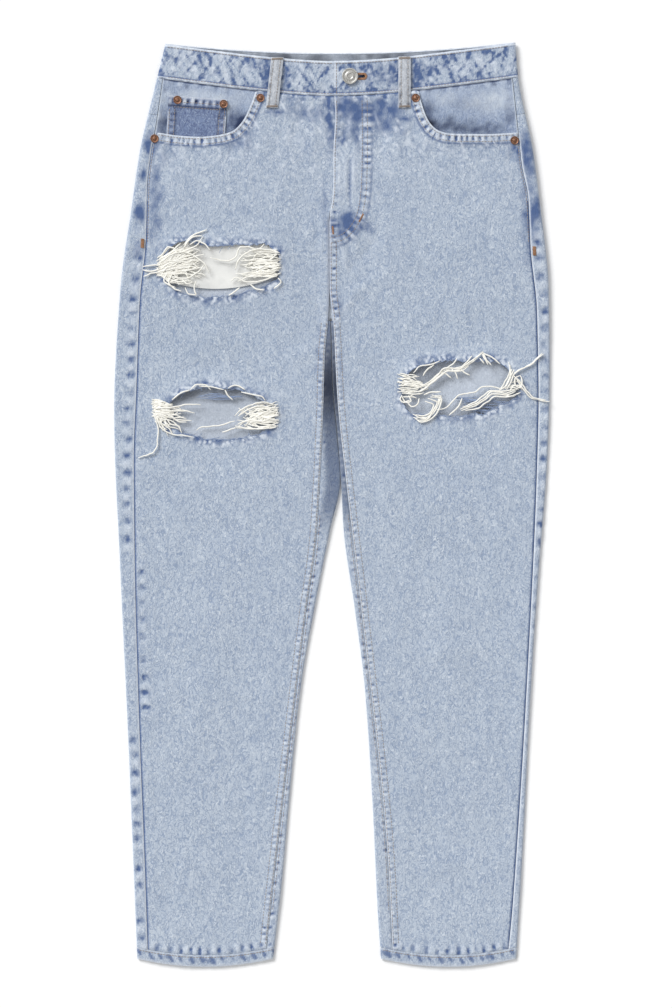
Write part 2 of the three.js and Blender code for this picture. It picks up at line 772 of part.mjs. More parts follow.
add('front_right', joined(front('right', openingRight), underlap()), washedDenim);
add('front_left', front('left', openingLeft), washedDenim);
for (const side of ['right', 'left']) {
  add(`back_${side}`, back(side), washedDenim);
  add(`yoke_${side}`, yoke(side), washedDenim);
  add(`hem_${side}`, hem(side), washedDenim);
  add(`pocket_facing_${side}`, pocketFacing(side), darkDenim);
  add(`pocket_bag_${side}`, pocketBag(side), cotton);
  add(`back_pocket_${side}`, backPocket(side), washedDenim);
}
add('waistband', waistband(), washedDenim);
add('coin_pocket', coinPocket(), darkDenim);
add('fly_zip', flyZip(), zipTape);
add('fly_shield', flyShield(), darkDenim);
for (const [name, place] of Object.entries(loopPlaces)) add(name, beltLoop(place), washedDenim);
for (const [name, place] of Object.entries(rivetPlaces)) add(name, rivet(place), copper);
add('button', button(), silver);
for (const [name, bundle] of Object.entries(frays)) add(name, fray(bundle), thread);

// The origin is at the middle of the jeans' footprint, on the surface they lie on.
const box = new THREE.Box3().setFromObject(group);
const middle = box.getCenter(new THREE.Vector3());
group.position.set(-middle.x, -middle.y, -box.min.z);

export default group;
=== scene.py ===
"""Ripped jeans in acid-washed denim, laid flat with the front up.

Sizes are in millimetres on the laid jeans: X across, Y up from the hems, Z up out of
the surface. "Right" and "left" are the wearer's, so the right leg is on the -X side.
"""

import math
from functools import partial

import bpy
import numpy as np
from mathutils.geometry import delaunay_2d_cdt
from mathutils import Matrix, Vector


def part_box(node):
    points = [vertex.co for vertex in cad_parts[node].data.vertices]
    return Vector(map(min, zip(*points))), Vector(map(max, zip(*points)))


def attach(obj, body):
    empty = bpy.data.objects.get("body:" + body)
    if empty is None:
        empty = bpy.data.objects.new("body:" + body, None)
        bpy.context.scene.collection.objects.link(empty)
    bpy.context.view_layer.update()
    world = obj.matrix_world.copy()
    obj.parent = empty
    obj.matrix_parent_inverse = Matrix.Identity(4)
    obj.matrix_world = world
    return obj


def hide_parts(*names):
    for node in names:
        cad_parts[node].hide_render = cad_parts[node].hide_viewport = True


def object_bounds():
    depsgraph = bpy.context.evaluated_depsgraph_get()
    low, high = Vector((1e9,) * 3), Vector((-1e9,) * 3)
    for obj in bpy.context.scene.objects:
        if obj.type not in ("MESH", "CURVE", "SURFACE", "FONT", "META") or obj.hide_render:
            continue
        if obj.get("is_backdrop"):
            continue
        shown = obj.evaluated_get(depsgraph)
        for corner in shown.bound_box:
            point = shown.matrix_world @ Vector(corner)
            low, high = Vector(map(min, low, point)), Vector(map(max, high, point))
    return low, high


bl_info = {
    "name": "Ripped jeans",
    "version": (1, 0, 0),
    "blender": (4, 5, 0),
    "location": "3D View > Sidebar > Jeans",
    "description": "Acid-washed jeans laid flat, with rips, stitching and metal",
    "category": "Add Mesh",
}

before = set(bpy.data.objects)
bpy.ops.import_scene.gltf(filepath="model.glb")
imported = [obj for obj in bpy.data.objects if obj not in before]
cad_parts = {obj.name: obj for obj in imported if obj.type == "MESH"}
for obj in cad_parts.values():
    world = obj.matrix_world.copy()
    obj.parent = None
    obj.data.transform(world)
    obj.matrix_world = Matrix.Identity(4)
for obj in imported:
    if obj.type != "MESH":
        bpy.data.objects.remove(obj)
CAD_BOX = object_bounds()
MM = 0.001

# ---- The cut, as laid ----

CLOTH = 1.1
PLY = 1.4
SEAM_GAP = 0.3
HEM_WALL = 2.0
BAND_WALL = 2.2
LOOP_WALL = 1.4
LEG_HEIGHT = 4.8
HEM_HEIGHT = 5.0
HEM_DEPTH = 12.0
HEM_DIP = 8.5
HIP_HEIGHT = 7.0
POCKET_HEIGHT = 8.4
HIP_LIFT = 1.7
BAND_HEIGHT = 7.2
BAND_END_HEIGHT = 6.4
CROTCH_Y = 685.0
CROTCH_STRIP_HEIGHT = 3.0
WAIST_MIDDLE = -5.0
HALF_WAIST = 190.0
WAIST_RISE = 19.0
BACK_RISE = 11.5
BEND = 0.35
UNDERLAP = 12.0
FLY_FOOT_Y = 804.0
BUTTON_PLACE = (10.6, 944.0)

# The frame gives where the laid jeans lie: the button's middle is BUTTON_PLACE.
BUTTON_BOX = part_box("button")
ORIGIN = [
    BUTTON_PLACE[k] - (BUTTON_BOX[0][k] + BUTTON_BOX[1][k]) / 2 / MM for k in range(2)
]


def through(points):
    """A smooth curve through a few (t, value) points that never overshoots them."""
    t, value = np.array(points, float).T
    slopes = np.diff(value) / np.diff(t)
    tangents = np.concatenate([slopes[:1], slopes])
    before, after = slopes[:-1], slopes[1:]
    together = before * after > 0
    total = np.where(together, before + after, 1)
    tangents[1:-1] = np.where(together, 2 * before * after / total, 0)
    tangents[-1] = slopes[-1]

    def curve(at):
        at = np.asarray(at, float)
        i = np.clip(np.searchsorted(t, at) - 1, 0, len(t) - 2)
        span = t[i + 1] - t[i]
        s = np.clip((at - t[i]) / span, 0, 1)
        flat = s * s * (3 - 2 * s)
        start = s * (1 - s) ** 2 * span * tangents[i]
        end = s * s * (s - 1) * span * tangents[i + 1]
        inside = value[i] * (1 - flat) + value[i + 1] * flat + start + end
        below = np.minimum(at - t[0], 0) * tangents[0]
        above = np.maximum(at - t[-1], 0) * tangents[-1]
        return inside + below + above

    return curve


OUTER = {
    "right": through([(8, -215), (82, -218), (250, -225), (420, -233), (590, -239.6), (718, -233),
      (802, -221.5), (866, -212), (930, -197), (981, -185)]),
    "left": through([(8, 187), (145, 195), (294, 202.5), (421, 211), (548, 220.5), (632, 222.6),
      (718, 221.5), (802, 213), (866, 204.6), (943, 189), (981, 186)]),
}
INNER = {
    "right": through([(9, -71), (82, -62.5), (209, -51), (294, -42), (378, -27.6), (463, -10.6),
      (516, 0.4), (559, -2.7), (618, -7.9), (CROTCH_Y, -10)]),
    "left": through([(9, 43.5), (60, 40), (166, 35), (294, 26.5), (378, 16), (463, 4), (516, 1),
      (559, -2.2), (618, -7.4), (CROTCH_Y, -9.5)]),
}
OUTSEAM = {
    "right": through([(12, -203.5), (113, -207), (268, -213), (430, -217.5), (540, -218.5),
      (608, -216), (707, -212), (770, -205.6), (830, -204), (864, -200), (886, -196), (940, -188)]),
    "left": through([(12, 178), (71, 183.4), (300, 198), (537, 209), (601, 210.4), (696, 208.6),
      (760, 202), (816, 199.3), (850, 192.6), (874, 190), (940, 183)]),
}
MIDDLE = {
    "right": through([(12, -79), (113, -67.8), (368, -37.1), (453, -25.5), (515, -21.4), (588, -18),
      (650, -16), (CROTCH_Y, -12.8), (720, -11.6), (789, -11.8), (825, -7.7), (864, -7.5),
      (903, -5.5), (921, -6.4)]),
    "left": through([(12, 56), (113, 50.9), (368, 23.9), (453, 13.8), (515, 6.5), (600, -2.5),
      (CROTCH_Y, -7.2), (720, -11.1), (789, -11.3), (825, -7.2), (864, -7), (903, -5),
      (921, -5.9)]),
}
BACK_MIDDLE = through([(CROTCH_Y, -9.75), (780, -8), (860, -3), (932, 0)])

OPENING = {
    "right": [(-205, 884.8), (-196, 884.5), (-173, 881.3), (-149, 879.8), (-131, 881.3),
      (-115, 885.3), (-103.5, 896), (-95.4, 912), (-90.5, 925.4), (-88, 935)],
    "left": [(196, 884.5), (188.4, 884.3), (155.8, 882.6), (131, 882.6), (116, 883.2), (104, 886.5),
      (93.7, 896.8), (86.9, 913.7), (83.7, 926.4), (82, 936)],
}
RIPS = {
    "right": [([(-188.7, 752), (-167.9, 768.9), (-136.7, 764.3), (-80.6, 765.9), (-64.7, 755)],
      [(-188.7, 734), (-182, 725), (-159, 711.3), (-136.7, 709.8), (-89, 717.6), (-64.7, 729)]),
      ([(-190, 588), (-176.4, 601.6), (-160, 611), (-138.9, 614.8), (-97.9, 608.4), (-69, 588)],
      [(-190, 580), (-179, 571.8), (-158, 563.9), (-130.4, 558.6), (-84.8, 565), (-69, 576)])],
    "left": [([(65, 622), (83.7, 637.5), (108.1, 642.4), (164.3, 642.4), (177, 635), (191, 613)],
      [(65, 600), (76.3, 586.2), (117.7, 584.1), (151.6, 587.2), (178.7, 600), (191, 608)])],
}
LOOPS = {
    "belt_loop_front_right": (-69.2, 5.8, True),
    "belt_loop_front_left": (68.4, 0.0, True),
    "belt_loop_back_right": (-128.0, 2.0, False),
    "belt_loop_back_centre": (0.0, 0.0, False),
    "belt_loop_back_left": (124.0, -2.0, False),
}
LOOP_WIDTH = 13.0
LOOP_FOOT = {True: 910.5, False: 912.0}
WAY = {"right": 1, "left": -1}
SIDES = ("right", "left")


def stacked(*columns):
    """Lists or grids of numbers as the columns of a table of points."""
    return np.column_stack([np.ravel(column) for column in columns])


def mix(a, b, t):
    return a + (b - a) * t


def ramp(t, start, end):
    s = np.clip((np.asarray(t, float) - start) / (end - start), 0, 1)
    return s * s * (3 - 2 * s)


def bump(t, middle, width):
    return np.exp(-(((np.asarray(t, float) - middle) / width) ** 2))


def underside(y):
    return HIP_LIFT * ramp(y, 630, CROTCH_Y)


def top_of(x, y):
    over_pocket = ramp(abs(x - WAIST_MIDDLE), 30, 60)
    rise = mix(HIP_HEIGHT - LEG_HEIGHT, POCKET_HEIGHT - LEG_HEIGHT, over_pocket)
    return LEG_HEIGHT + ramp(y, 640, 790) * rise


def top_of_left(x, y):
    lap = ramp(y, FLY_FOOT_Y - 45, FLY_FOOT_Y - 9) * (1 - ramp(x, 22, 48))
    return top_of(x, y) + PLY * lap


def front_curve(x, middle):
    t = (np.asarray(x, float) - WAIST_MIDDLE) / HALF_WAIST
    return middle + WAIST_RISE * (np.hypot(t, BEND) - BEND) / (math.hypot(1, BEND) - BEND)


def back_curve(x, middle):
    return middle + BACK_RISE * ((np.asarray(x, float) - WAIST_MIDDLE) / HALF_WAIST) ** 2


# The waistband's lower and upper edges, on the front and on the back.
front_seam, front_top = (partial(front_curve, middle=at) for at in (923.5, 960.5))
back_seam, back_top = (partial(back_curve, middle=at) for at in (932.0, 969.0))


def yoke_seam(x):
    return back_seam(x) - 66 + 26 * ramp(abs(x - WAIST_MIDDLE), 0, HALF_WAIST)


def hem_edge(side, x):
    outer, inner = OUTER[side](HEM_DIP), INNER[side](HEM_DIP)
    return HEM_DIP * ((x - (outer + inner) / 2) / ((outer - inner) / 2)) ** 2


def seam_of(side, y):
    """X of the outseam, kept on the flat of the top."""
    edge = OUTER[side](y)
    fold = edge + WAY[side] * ((top_of(edge, y) - underside(y)) / 2 + 1.5)
    return np.maximum(OUTSEAM[side](y) * WAY[side], fold * WAY[side]) * WAY[side]


def crotch_height(y):
    return mix(LEG_HEIGHT, CROTCH_STRIP_HEIGHT, ramp(y, 470, 540))


# ---- How cloth is worked: rumples, puckers, wear ----


def soft_noise(x, y, size, seed):
    """Smooth noise from -1 to 1, with lumps about size across."""
    table = np.random.default_rng(seed).uniform(-1, 1, (64, 64))
    x, y = np.asarray(x, float), np.asarray(y, float)
    u, v = (x * 0.87 + y * 0.5) / size + 200, (y * 0.87 - x * 0.5) / size + 200
    i, j = np.floor(u).astype(int), np.floor(v).astype(int)
    f, g = u - i, v - j
    f, g = f * f * (3 - 2 * f), g * g * (3 - 2 * g)
    low, high = (
        mix(table[i % 64, k % 64], table[(i + 1) % 64, k % 64], f) for k in (j, j + 1)
    )
    return mix(low, high, g)


# Main creases of the front, listed: (x, y) to (x, y), half width, height.
CREASES = [
    (-16, 700, -70, 742, 7, 0.9), (-14, 716, -58, 775, 6, -0.7), (-8, 700, 52, 738, 7, 0.9),
    (-6, 722, 48, 782, 6, -0.7), (-22, 660, -60, 640, 8, 0.8), (2, 660, 44, 640, 8, 0.8),
    (-24, 905, -32, 850, 6, 0.8), (-40, 908, -52, 868, 5, -0.6), (40, 914, 46, 850, 5, -0.7),
    (54, 912, 64, 846, 6, 0.8), (74, 905, 84, 858, 6, -0.5), (-86, 905, -78, 850, 7, 0.7),
    (-60, 905, -66, 858, 5, -0.6), (-30, 800, -36, 745, 9, 0.6), (36, 800, 30, 742, 9, -0.6),
    (-150, 668, -90, 660, 12, 0.7), (-170, 640, -110, 632, 9, -0.6), (90, 690, 160, 702, 12, 0.7),
    (80, 560, 150, 545, 12, 0.7), (-170, 520, -90, 508, 14, 0.8), (-150, 470, -70, 452, 13, -0.7),
    (60, 500, 150, 486, 14, 0.8), (70, 452, 160, 430, 13, -0.6), (-140, 420, -152, 250, 18, 0.7),
    (-100, 330, -118, 150, 16, -0.6), (110, 400, 118, 240, 18, 0.7), (90, 250, 104, 110, 16, -0.6),
    (-190, 300, -60, 282, 10, 0.5), (70, 330, 180, 342, 10, 0.5), (-180, 120, -100, 96, 11, 0.6),
    (70, 96, 160, 118, 11, 0.6),
]
# Short drag lines where the cloth is pulled: under the pockets, loops and fly.
DRAG_LINES = [
    (-192, 874, -184, 846, 3, 0.9), (-184, 876, -170, 850, 3, -0.7), (-174, 874, -158, 848, 3, 0.8),
    (-160, 872, -138, 850, 3, -0.5), (-112, 872, -122, 852, 3, -0.6), (-96, 884, -104, 862, 3, 0.6),
    (14, 912, 3, 876, 3, -0.9), (17, 896, 22, 868, 3, -0.8), (12, 908, 8, 880, 2.5, 0.9),
    (10.5, 858, 9.5, 805, 1.6, -1.1), (6, 872, 5, 812, 4.5, 0.9), (14, 866, 14, 818, 3, 0.9),
    (-1, 868, -1, 806, 3, 1.0), (19, 870, 17, 820, 3, 0.5), (36, 908, 44, 884, 3, 0.8),
    (48, 906, 52, 884, 3, -0.5), (30, 912, 40, 896, 2.5, -0.6), (-36, 912, -24, 886, 3, 0.7),
    (-46, 914, -34, 894, 3, -0.5), (-24, 914, -15, 880, 2.5, 0.8), (74, 900, 66, 880, 3, 0.6),
    (86, 880, 96, 862, 3, 0.6), (98, 876, 110, 858, 3, -0.4), (-20, 792, -34, 812, 3, -0.5),
    (26, 778, 44, 760, 3.5, 0.5), (-16, 770, -30, 752, 3.5, 0.5), (6, 770, 16, 744, 3, -0.6),
    (2, 764, 8, 736, 3, 0.7), (-14, 690, -26, 712, 3.5, 0.6), (0, 690, 14, 712, 3.5, 0.6),
    (-148, 780, -120, 788, 4, -0.4), (90, 655, 130, 660, 4, -0.4), (186, 868, 176, 850, 3, -0.5),
]


def near(path, x, y):
    """Distance to a path, and how far along it, for each point."""
    path = np.asarray(path, float)
    best = np.full(np.shape(x), 1e9)
    along = np.zeros(np.shape(x))
    walked = 0.0
    for (ax, ay), (bx, by) in zip(path[:-1], path[1:]):
        length = math.hypot(bx - ax, by - ay)
        ux, uy = (bx - ax) / length, (by - ay) / length
        t = np.clip((x - ax) * ux + (y - ay) * uy, 0, length)
        distance = np.hypot(x - ax - t * ux, y - ay - t * uy)
        closer = distance < best
        best = np.where(closer, distance, best)
        along = np.where(closer, walked + t, along)
        walked += length
    return best, along


def strokes(lines, x, y):
    """Each line near the points: distance from it, taper, box, width and height."""
    for ax, ay, bx, by, width, height in lines:
        box = (x > min(ax, bx) - 3 * width) & (x < max(ax, bx) + 3 * width)
        box &= (y > min(ay, by) - 3 * width) & (y < max(ay, by) + 3 * width)
        if np.any(box):
            distance, along = near([(ax, ay), (bx, by)], x, y)
            share = np.clip(along / math.hypot(bx - ax, by - ay), 0.04, 0.96)
            yield distance, np.sin(np.pi * share), box, width, height


def rumple(x, y):
    """Gentle unevenness of all the layers together."""
    broad = soft_noise(x * 1.6, y, 70, 3) * 0.55
    middling = soft_noise(x * 1.5, y * 0.8, 26, 4) * 0.3
    total = broad + middling + soft_noise(x * 1.2, y * 0.7, 9, 5) * 0.09
    for distance, taper, box, width, height in strokes(CREASES + DRAG_LINES, x, y):
        total = total + height * taper ** 0.7 * bump(distance, 0, width) * box
    return total


def crease_marks(x, y):
    """Wear on the raised creases and indigo in the hollow ones."""
    indigo, pale = np.zeros(np.shape(x)), np.zeros(np.shape(x))
    for distance, taper, box, width, height in strokes(DRAG_LINES, x, y):
        streak = abs(height) * taper * bump(distance, 0, 0.55 * width) * box
        if height > 0:
            pale = np.maximum(pale, 0.5 * streak)
        else:
            indigo = np.maximum(indigo, 0.75 * streak)
    return indigo, pale


def spots(along, across, pitch, middle, width, seed):
    """Soft spots in a row along a seam, a pitch apart, each of its own strength."""
    phase = along / pitch + 0.4 * soft_noise(along, 0, 2.3 * pitch, seed)
    number = np.floor(phase + 0.5)
    strength = 0.85 + 0.45 * soft_noise(number * 7.3, 0, 1.0, seed + 1)
    shift = 1.8 * soft_noise(number * 5.1, 9, 1.0, seed + 2)
    spot = np.clip(1.25 * np.cos(2 * np.pi * phase), 0, 1) ** 0.9
    ragged = 0.8 + 0.55 * soft_noise(along, across, 2.6, seed + 3)
    return spot * strength * ragged * bump(across, middle + shift, width)


def seam(path, seed, pitch=12.0, at=5.0, wide=3.5, dark=0.0, bright=0.0, reach=9.0, ridge=0.0,
         groove=0.0, line=0.0, groove_indigo_and_shade=0.0, trail=0.0, span=None):
    """A worked edge or seam: what gives its lift, indigo, painted shade in its groove and wear of
    the cloth.

    Dark and bright spots come a pitch apart, so far in from the path and so wide.
    """
    far = reach + 8
    low, high = np.min(path, axis=0) - far, np.max(path, axis=0) + far

    def work(x, y):
        x, y = np.asarray(x, float), np.asarray(y, float)
        lift, indigo, pale = (np.zeros(x.shape) for _ in range(3))
        close = (x > low[0]) & (x < high[0]) & (y > low[1]) & (y < high[1])
        if not close.any():
            return lift, indigo, pale
        d, s = near(path, x[close], y[close])
        weight = 1.0
        if span:
            weight = ramp(y[close], span[0] - 12, span[0] + 12)
            weight = weight * (1 - ramp(y[close], span[1] - 12, span[1] + 12))
        spot = spots(s, d, pitch, at, wide, seed) * weight
        between = spots(s + pitch / 2, d, pitch, at, wide, seed) * weight
        rise = ridge * (1 - ramp(d, reach * 0.8, reach * 1.25)) - groove * bump(d, 0, 1.3)
        rise = rise + 0.5 * ridge * bump(d, 2.2, 1.5)
        lift[close] = rise - 0.75 * dark * spot + 0.35 * dark * between
        # Indigo spots, and darkening along the groove that is partly indigo and partly painted
        # shade.
        indigo_and_groove_shade = np.maximum(dark * spot, groove_indigo_and_shade * bump(d, 0.3, 1.3))
        indigo[close] = np.maximum(indigo_and_groove_shade, trail * bump(d, 0.95 * reach, 1.2))
        pale[close] = line * bump(d, 0.4, 1.1) + bright * between
        return lift, indigo, pale

    return work


def work_all(seams, x, y):
    """Lift, indigo and pale of several seams together."""
    lift, indigo, pale = (np.zeros(np.shape(x)) for _ in range(3))
    for work in seams:
        more, dark, light = work(x, y)
        lift = lift + more
        indigo, pale = np.maximum(indigo, dark), np.maximum(pale, light)
    return lift, indigo, pale


def sampled(curve, start, end, step=12.0):
    """Points (t, curve(t)) of a curve."""
    t = np.linspace(start, end, max(2, int(abs(end - start) / step) + 1))
    return stacked(t, curve(t))


def climb(curve, start, end, step=12.0):
    """Points (curve(t), t) of a curve that gives X for a Y."""
    return sampled(curve, start, end, step)[:, ::-1]


def unit(vectors):
    """Each vector at length one."""
    return vectors / np.maximum(np.linalg.norm(vectors, axis=1), 1e-12)[:, None]


def sideways(path):
    """Unit vectors to the left of a path."""
    along = unit(np.gradient(np.asarray(path, float), axis=0))
    return stacked(-along[:, 1], along[:, 0])


def shifted(path, distance):
    """The path moved to its left."""
    return path + distance * sideways(path)


def walked(path):
    """How far along a path each of its points is."""
    steps = np.linalg.norm(np.diff(path, axis=0), axis=1)
    return np.concatenate([[0], np.cumsum(steps)])


def smooth_path(points, step=3.0):
    """A path through given points, rounded, with even steps."""
    t = walked(points)
    even = np.linspace(0, t[-1], max(2, int(t[-1] / step) + 1))
    return np.column_stack([through(list(zip(t, column)))(even) for column in zip(*points)])


FLY_STITCH = [(29, 919), (29.5, 880), (28.5, 830), (25, 802), (16, 782), (2, 770), (-10, 767)]
OPENING_PATH = {side: smooth_path(OPENING[side], 4.0) for side in SIDES}

# Broad indigo where the wash didn't reach: (x, y, half width, half height, strength).
CLOUDS = [
    (9.6, 787, 12, 14, 1.15), (24, 784, 12, 7, 0.7), (-8, 788, 8, 7, 1.1), (2, 775, 10, 7, 0.8),
    (-11, 902, 4.5, 24, 1.05), (-16, 912, 8, 10, 0.6), (4, 912, 11, 11, 1.1),
    (24, 910, 16, 12, 0.95), (40, 914, 14, 6, 0.9), (56, 908, 8, 12, 1.0), (66, 899, 12, 4, 0.8),
    (9, 893, 4, 16, 0.8), (3, 880, 4, 10, 0.7), (19, 884, 4, 18, 0.7), (-77, 944, 6, 19, 1.15),
    (-84, 956, 9, 7, 0.8), (-57, 940, 5, 14, 0.9), (82, 944, 9, 19, 1.15), (57, 948, 7, 16, 1.0),
    (42, 946, 9, 9, 0.8), (30, 940, 5, 12, 0.7), (22, 954, 14, 3, 0.8), (98, 950, 10, 6, 0.8),
    (-69, 905, 11, 4, 0.7), (-50, 918, 14, 4, 0.5), (-4, 700, 8, 16, 0.5), (-201, 870, 7, 13, 1.1),
    (-208, 838, 5, 6, 0.9), (-211, 798, 7, 13, 1.1), (-214, 760, 7, 6, 0.7),
    (196, 868, 8, 14, 1.15), (183, 868, 6, 8, 0.9), (207, 803, 8, 14, 1.15), (197, 800, 6, 12, 0.7),
    (206, 775, 5, 8, 0.7), (-110, 872, 14, 7, 0.55), (-100, 880, 10, 9, 0.6),
    (-22, 640, 5, 60, 0.35), (2, 640, 4, 50, 0.3), (-186, 860, 8, 10, 0.45), (-17, 808, 5, 20, 0.4),
    (150, 868, 25, 3, 0.35), (-196, 815, 9, 60, 0.55), (199, 800, 8, 60, 0.55),
    (-30, 905, 30, 10, 0.55), (50, 895, 26, 14, 0.6), (24, 906, 36, 13, 1.0), (-9, 890, 5, 30, 0.9),
    (12, 888, 12, 16, 0.7), (-12, 778, 4, 12, 1.0), (199, 858, 8, 22, 0.9), (204, 795, 6, 16, 0.9),
]
# Where pocket facings keep their indigo, and painted shade where an opening gapes and is dark
# inside.
FACING_INDIGO_AND_SHADE = [
    (-150, 893, 40, 16, 0.75), (-105, 893, 12, 14, 0.9), (-187, 893, 10, 14, 0.7),
    (-152, 880, 60, 8, 0.8), (-112, 895, 9, 16, 0.8), (90, 906, 12, 12, 0.6),
    (110, 893, 40, 9, 0.6), (150, 889, 40, 7, 0.5), (140, 915, 30, 8, 0.3), (180, 905, 6, 20, 0.55),
]
# Painted shade on the wrong side inside the rips, under their upper edges: (x, y, half width, half
# height, strength).
RIP_PAINTED_SHADE = [
    (-135, 590, 46, 22, 0.16), (-166, 607, 26, 9, 0.6), (-112, 607, 30, 9, 0.42),
    (-60, 585, 26, 24, 0.3), (92, 630, 20, 16, 0.45), (140, 590, 60, 8, 0.25),
    (190, 620, 20, 26, 0.35),
]
FACING_PALES = [
    (-150, 920, 50, 9, 0.8), (-196, 905, 6, 20, 0.5), (-126, 908, 10, 8, 0.4),
    (110, 922, 20, 7, 0.5), (160, 918, 30, 13, 0.6),
]
# Painted shade where the pocket openings gape: (x, y, half width, half height, strength).
FACING_PAINTED_SHADE = [
    (94, 894, 13, 6, 0.7), (122, 892, 26, 5, 0.3), (-104, 890, 7, 8, 0.3),
]


def front_seams(side):
    """The worked edges of one front."""
    way, right = WAY[side], side == "right"
    edge, middle = partial(seam_of, side), MIDDLE[side]
    hem = sampled(lambda x: hem_edge(side, x) + HEM_DEPTH, OUTER[side](20), INNER[side](20), 8)
    seams = [
        seam(climb(edge, 12, 440), 11 + way, 18.5, 6.5, 4.6, 1.0 * right, 0.35 * right,
             reach=12, ridge=0.25, groove=0.8, groove_indigo_and_shade=1.3, span=(262, 428)),
        seam(climb(edge, 440, 885), 21 + way, 19, 3, 2.5, 0.25, groove=1.0, groove_indigo_and_shade=1.4),
        seam(climb(middle, 12, CROTCH_Y), 31 + way, 6.0, 3.2, 2.4, 0.7, 0.75, reach=5.5,
             ridge=0.55, groove=0.8, line=0.5),
        seam(climb(middle, CROTCH_Y, FLY_FOOT_Y - 10), 41 + way, 6.2, 4.6, 3.2,
             *((0.2, 0.2) if right else (0.9, 0.7)), ridge=0.5, groove=0.8, line=0.7,
             groove_indigo_and_shade=0.8),
        seam(sampled(front_seam, -190, 185), 51, 14, 3.0, 3.2, 0.9, 0.2, reach=10, groove=0.9,
             groove_indigo_and_shade=1.3),
        seam(OPENING_PATH[side], 61 + way, 6.6, 5.4, 3.2, 1.4, 1.3, reach=10.5, ridge=0.75,
             line=1.0, trail=0.9),
        seam(hem, 71 + way, 11, 4.0, 4.4, 1.15, 0.6, ridge=0.2, groove=0.8),
    ]
    if right:
        return seams
    fly = smooth_path(FLY_STITCH, 6)
    return seams + [
        seam(climb(middle, FLY_FOOT_Y - 6, 922), 81, 10.4, 5, 2.6, 0.8, 0.4, reach=5,
             ridge=0.45, line=1.0),
        seam([(10.6, 804), (10.9, 830), (10.2, 856)], 82, groove=0.6, groove_indigo_and_shade=0.55, reach=3),
        seam(fly, 91, 7.5, 0.5, 4.6, 0.8, 0.75, reach=6, ridge=0.45, groove=0.1),
        seam(shifted(fly, -4.6), 93, groove=0.3, groove_indigo_and_shade=0.6, reach=2),
        seam(shifted(fly, 4.6), 93, groove=0.3, groove_indigo_and_shade=0.6, reach=2),
    ]


def rip_edges(rip, wobble=0.0):
    """The closed outline of a rip, frayed by wobble."""
    xs = np.linspace(rip[0][0][0], rip[0][-1][0], 90)
    fray_up = wobble * (soft_noise(xs, 0, 2.2, 7) + 0.6 * soft_noise(xs, 50, 7, 8))
    fray_down = wobble * (soft_noise(xs, 90, 2.4, 9) + 0.6 * soft_noise(xs, 150, 6, 10))
    upper = stacked(xs, through(rip[0])(xs) + fray_up)
    lower = stacked(xs, through(rip[1])(xs) + fray_down)
    return np.vstack([lower, upper[::-1]])


FRONT_SEAMS = {side: front_seams(side) for side in SIDES}
RIP_LINES = {side: [rip_edges(rip)[::6] for rip in RIPS[side]] for side in SIDES}


def blots(x, y, places):
    """The strongest of several soft blots at each point."""
    found = np.zeros(np.shape(x))
    for cx, cy, rx, ry, strength in places:
        blot = np.exp(-(((x - cx) / rx) ** 2) - ((y - cy) / ry) ** 2)
        found = np.maximum(found, strength * blot)
    return found


def wandering(x, y):
    """The points moved about a little, so that blots get ragged edges."""
    return x + 3.5 * soft_noise(x, y, 7, 34), y + 3.5 * soft_noise(x, y, 8, 35)


def broken(x, y, places):
    """Blots with ragged, uneven edges, for indigo and pale left by the wash and for painted shade.
    """
    return blots(*wandering(x, y), places) * (1.1 + 0.45 * soft_noise(x, y, 5, 33))


def washed(x, y):
    """Indigo from the broad clouds, and in the wisps near the waist."""
    wander_x, wander_y = wandering(x, y)
    wisps = np.abs(soft_noise(wander_x * 1.7, wander_y * 0.75, 8, 36))
    lines = (1 - ramp(wisps, 0.03, 0.16)) * ramp(soft_noise(x, y, 16, 37), -0.2, 0.35)
    return np.maximum(broken(x, y, CLOUDS), 0.5 * lines * ramp(y, 800, 895))


def paled(x, y):
    """Worn lines of the crinkled cloth near the waist."""
    wisps = np.abs(soft_noise(x * 1.5 + 0.5 * y, y * 0.8, 7, 38))
    return 0.75 * (1 - ramp(wisps, 0.02, 0.13)) * ramp(y, 790, 900)


def front_surface(side, x, y):
    """Height, indigo and pale of a front at (x, y)."""
    x, y = np.asarray(x, float), np.asarray(y, float)
    height = top_of if side == "right" else top_of_left
    streak_indigo, streak_pale = crease_marks(x, y)
    wash = washed(x, y)
    lift, indigo, pale = work_all(FRONT_SEAMS[side], x, y)
    z = height(x, y) + rumple(x, y) + lift
    indigo = np.maximum(indigo, np.maximum(wash, streak_indigo))
    pale = np.maximum(pale, np.maximum(streak_pale, paled(x, y) * (1 - ramp(wash, 0.3, 0.8))))
    for line in RIP_LINES[side]:
        middle = line.mean(0)
        close = (abs(x - middle[0]) < 100) & (abs(y - middle[1]) < 70)
        if not close.any():
            continue
        px, py = x[close], y[close]
        d, s = near(np.vstack([line, line[:1]]), px, py)
        above = ramp(py, middle[1] - 15, middle[1] + 20)
        curl = 0.7 + 1.2 * above + 0.7 * soft_noise(s, 0, 14, 15)
        z[close] += curl * np.exp(-((d / 13) ** 2))
        flecks = soft_noise(px, py, 2.6, 16)
        rim = bump(d, 1, 7.5) * (0.55 + 0.45 * soft_noise(px, py, 6, 17) + 0.6 * flecks)
        indigo[close] = np.maximum(indigo[close], 0.85 * rim)
        pale[close] = np.maximum(pale[close], bump(d, 2, 6) * ramp(-flecks, 0.05, 0.5))
    if side == "left":
        d, _ = near(OPENING_PATH[side][4:-9], x, y)
        z = z + 1.6 * np.exp(-((d / 12) ** 2)) * bump(x, 128, 34)
    return z, np.clip(indigo, 0, 1), np.clip(pale, 0, 1)


# ---- Meshes ----


def to_frame(points):
    """Millimetres on the laid jeans to metres in the frame."""
    return (np.array(points, float) - (*ORIGIN, 0)) * MM


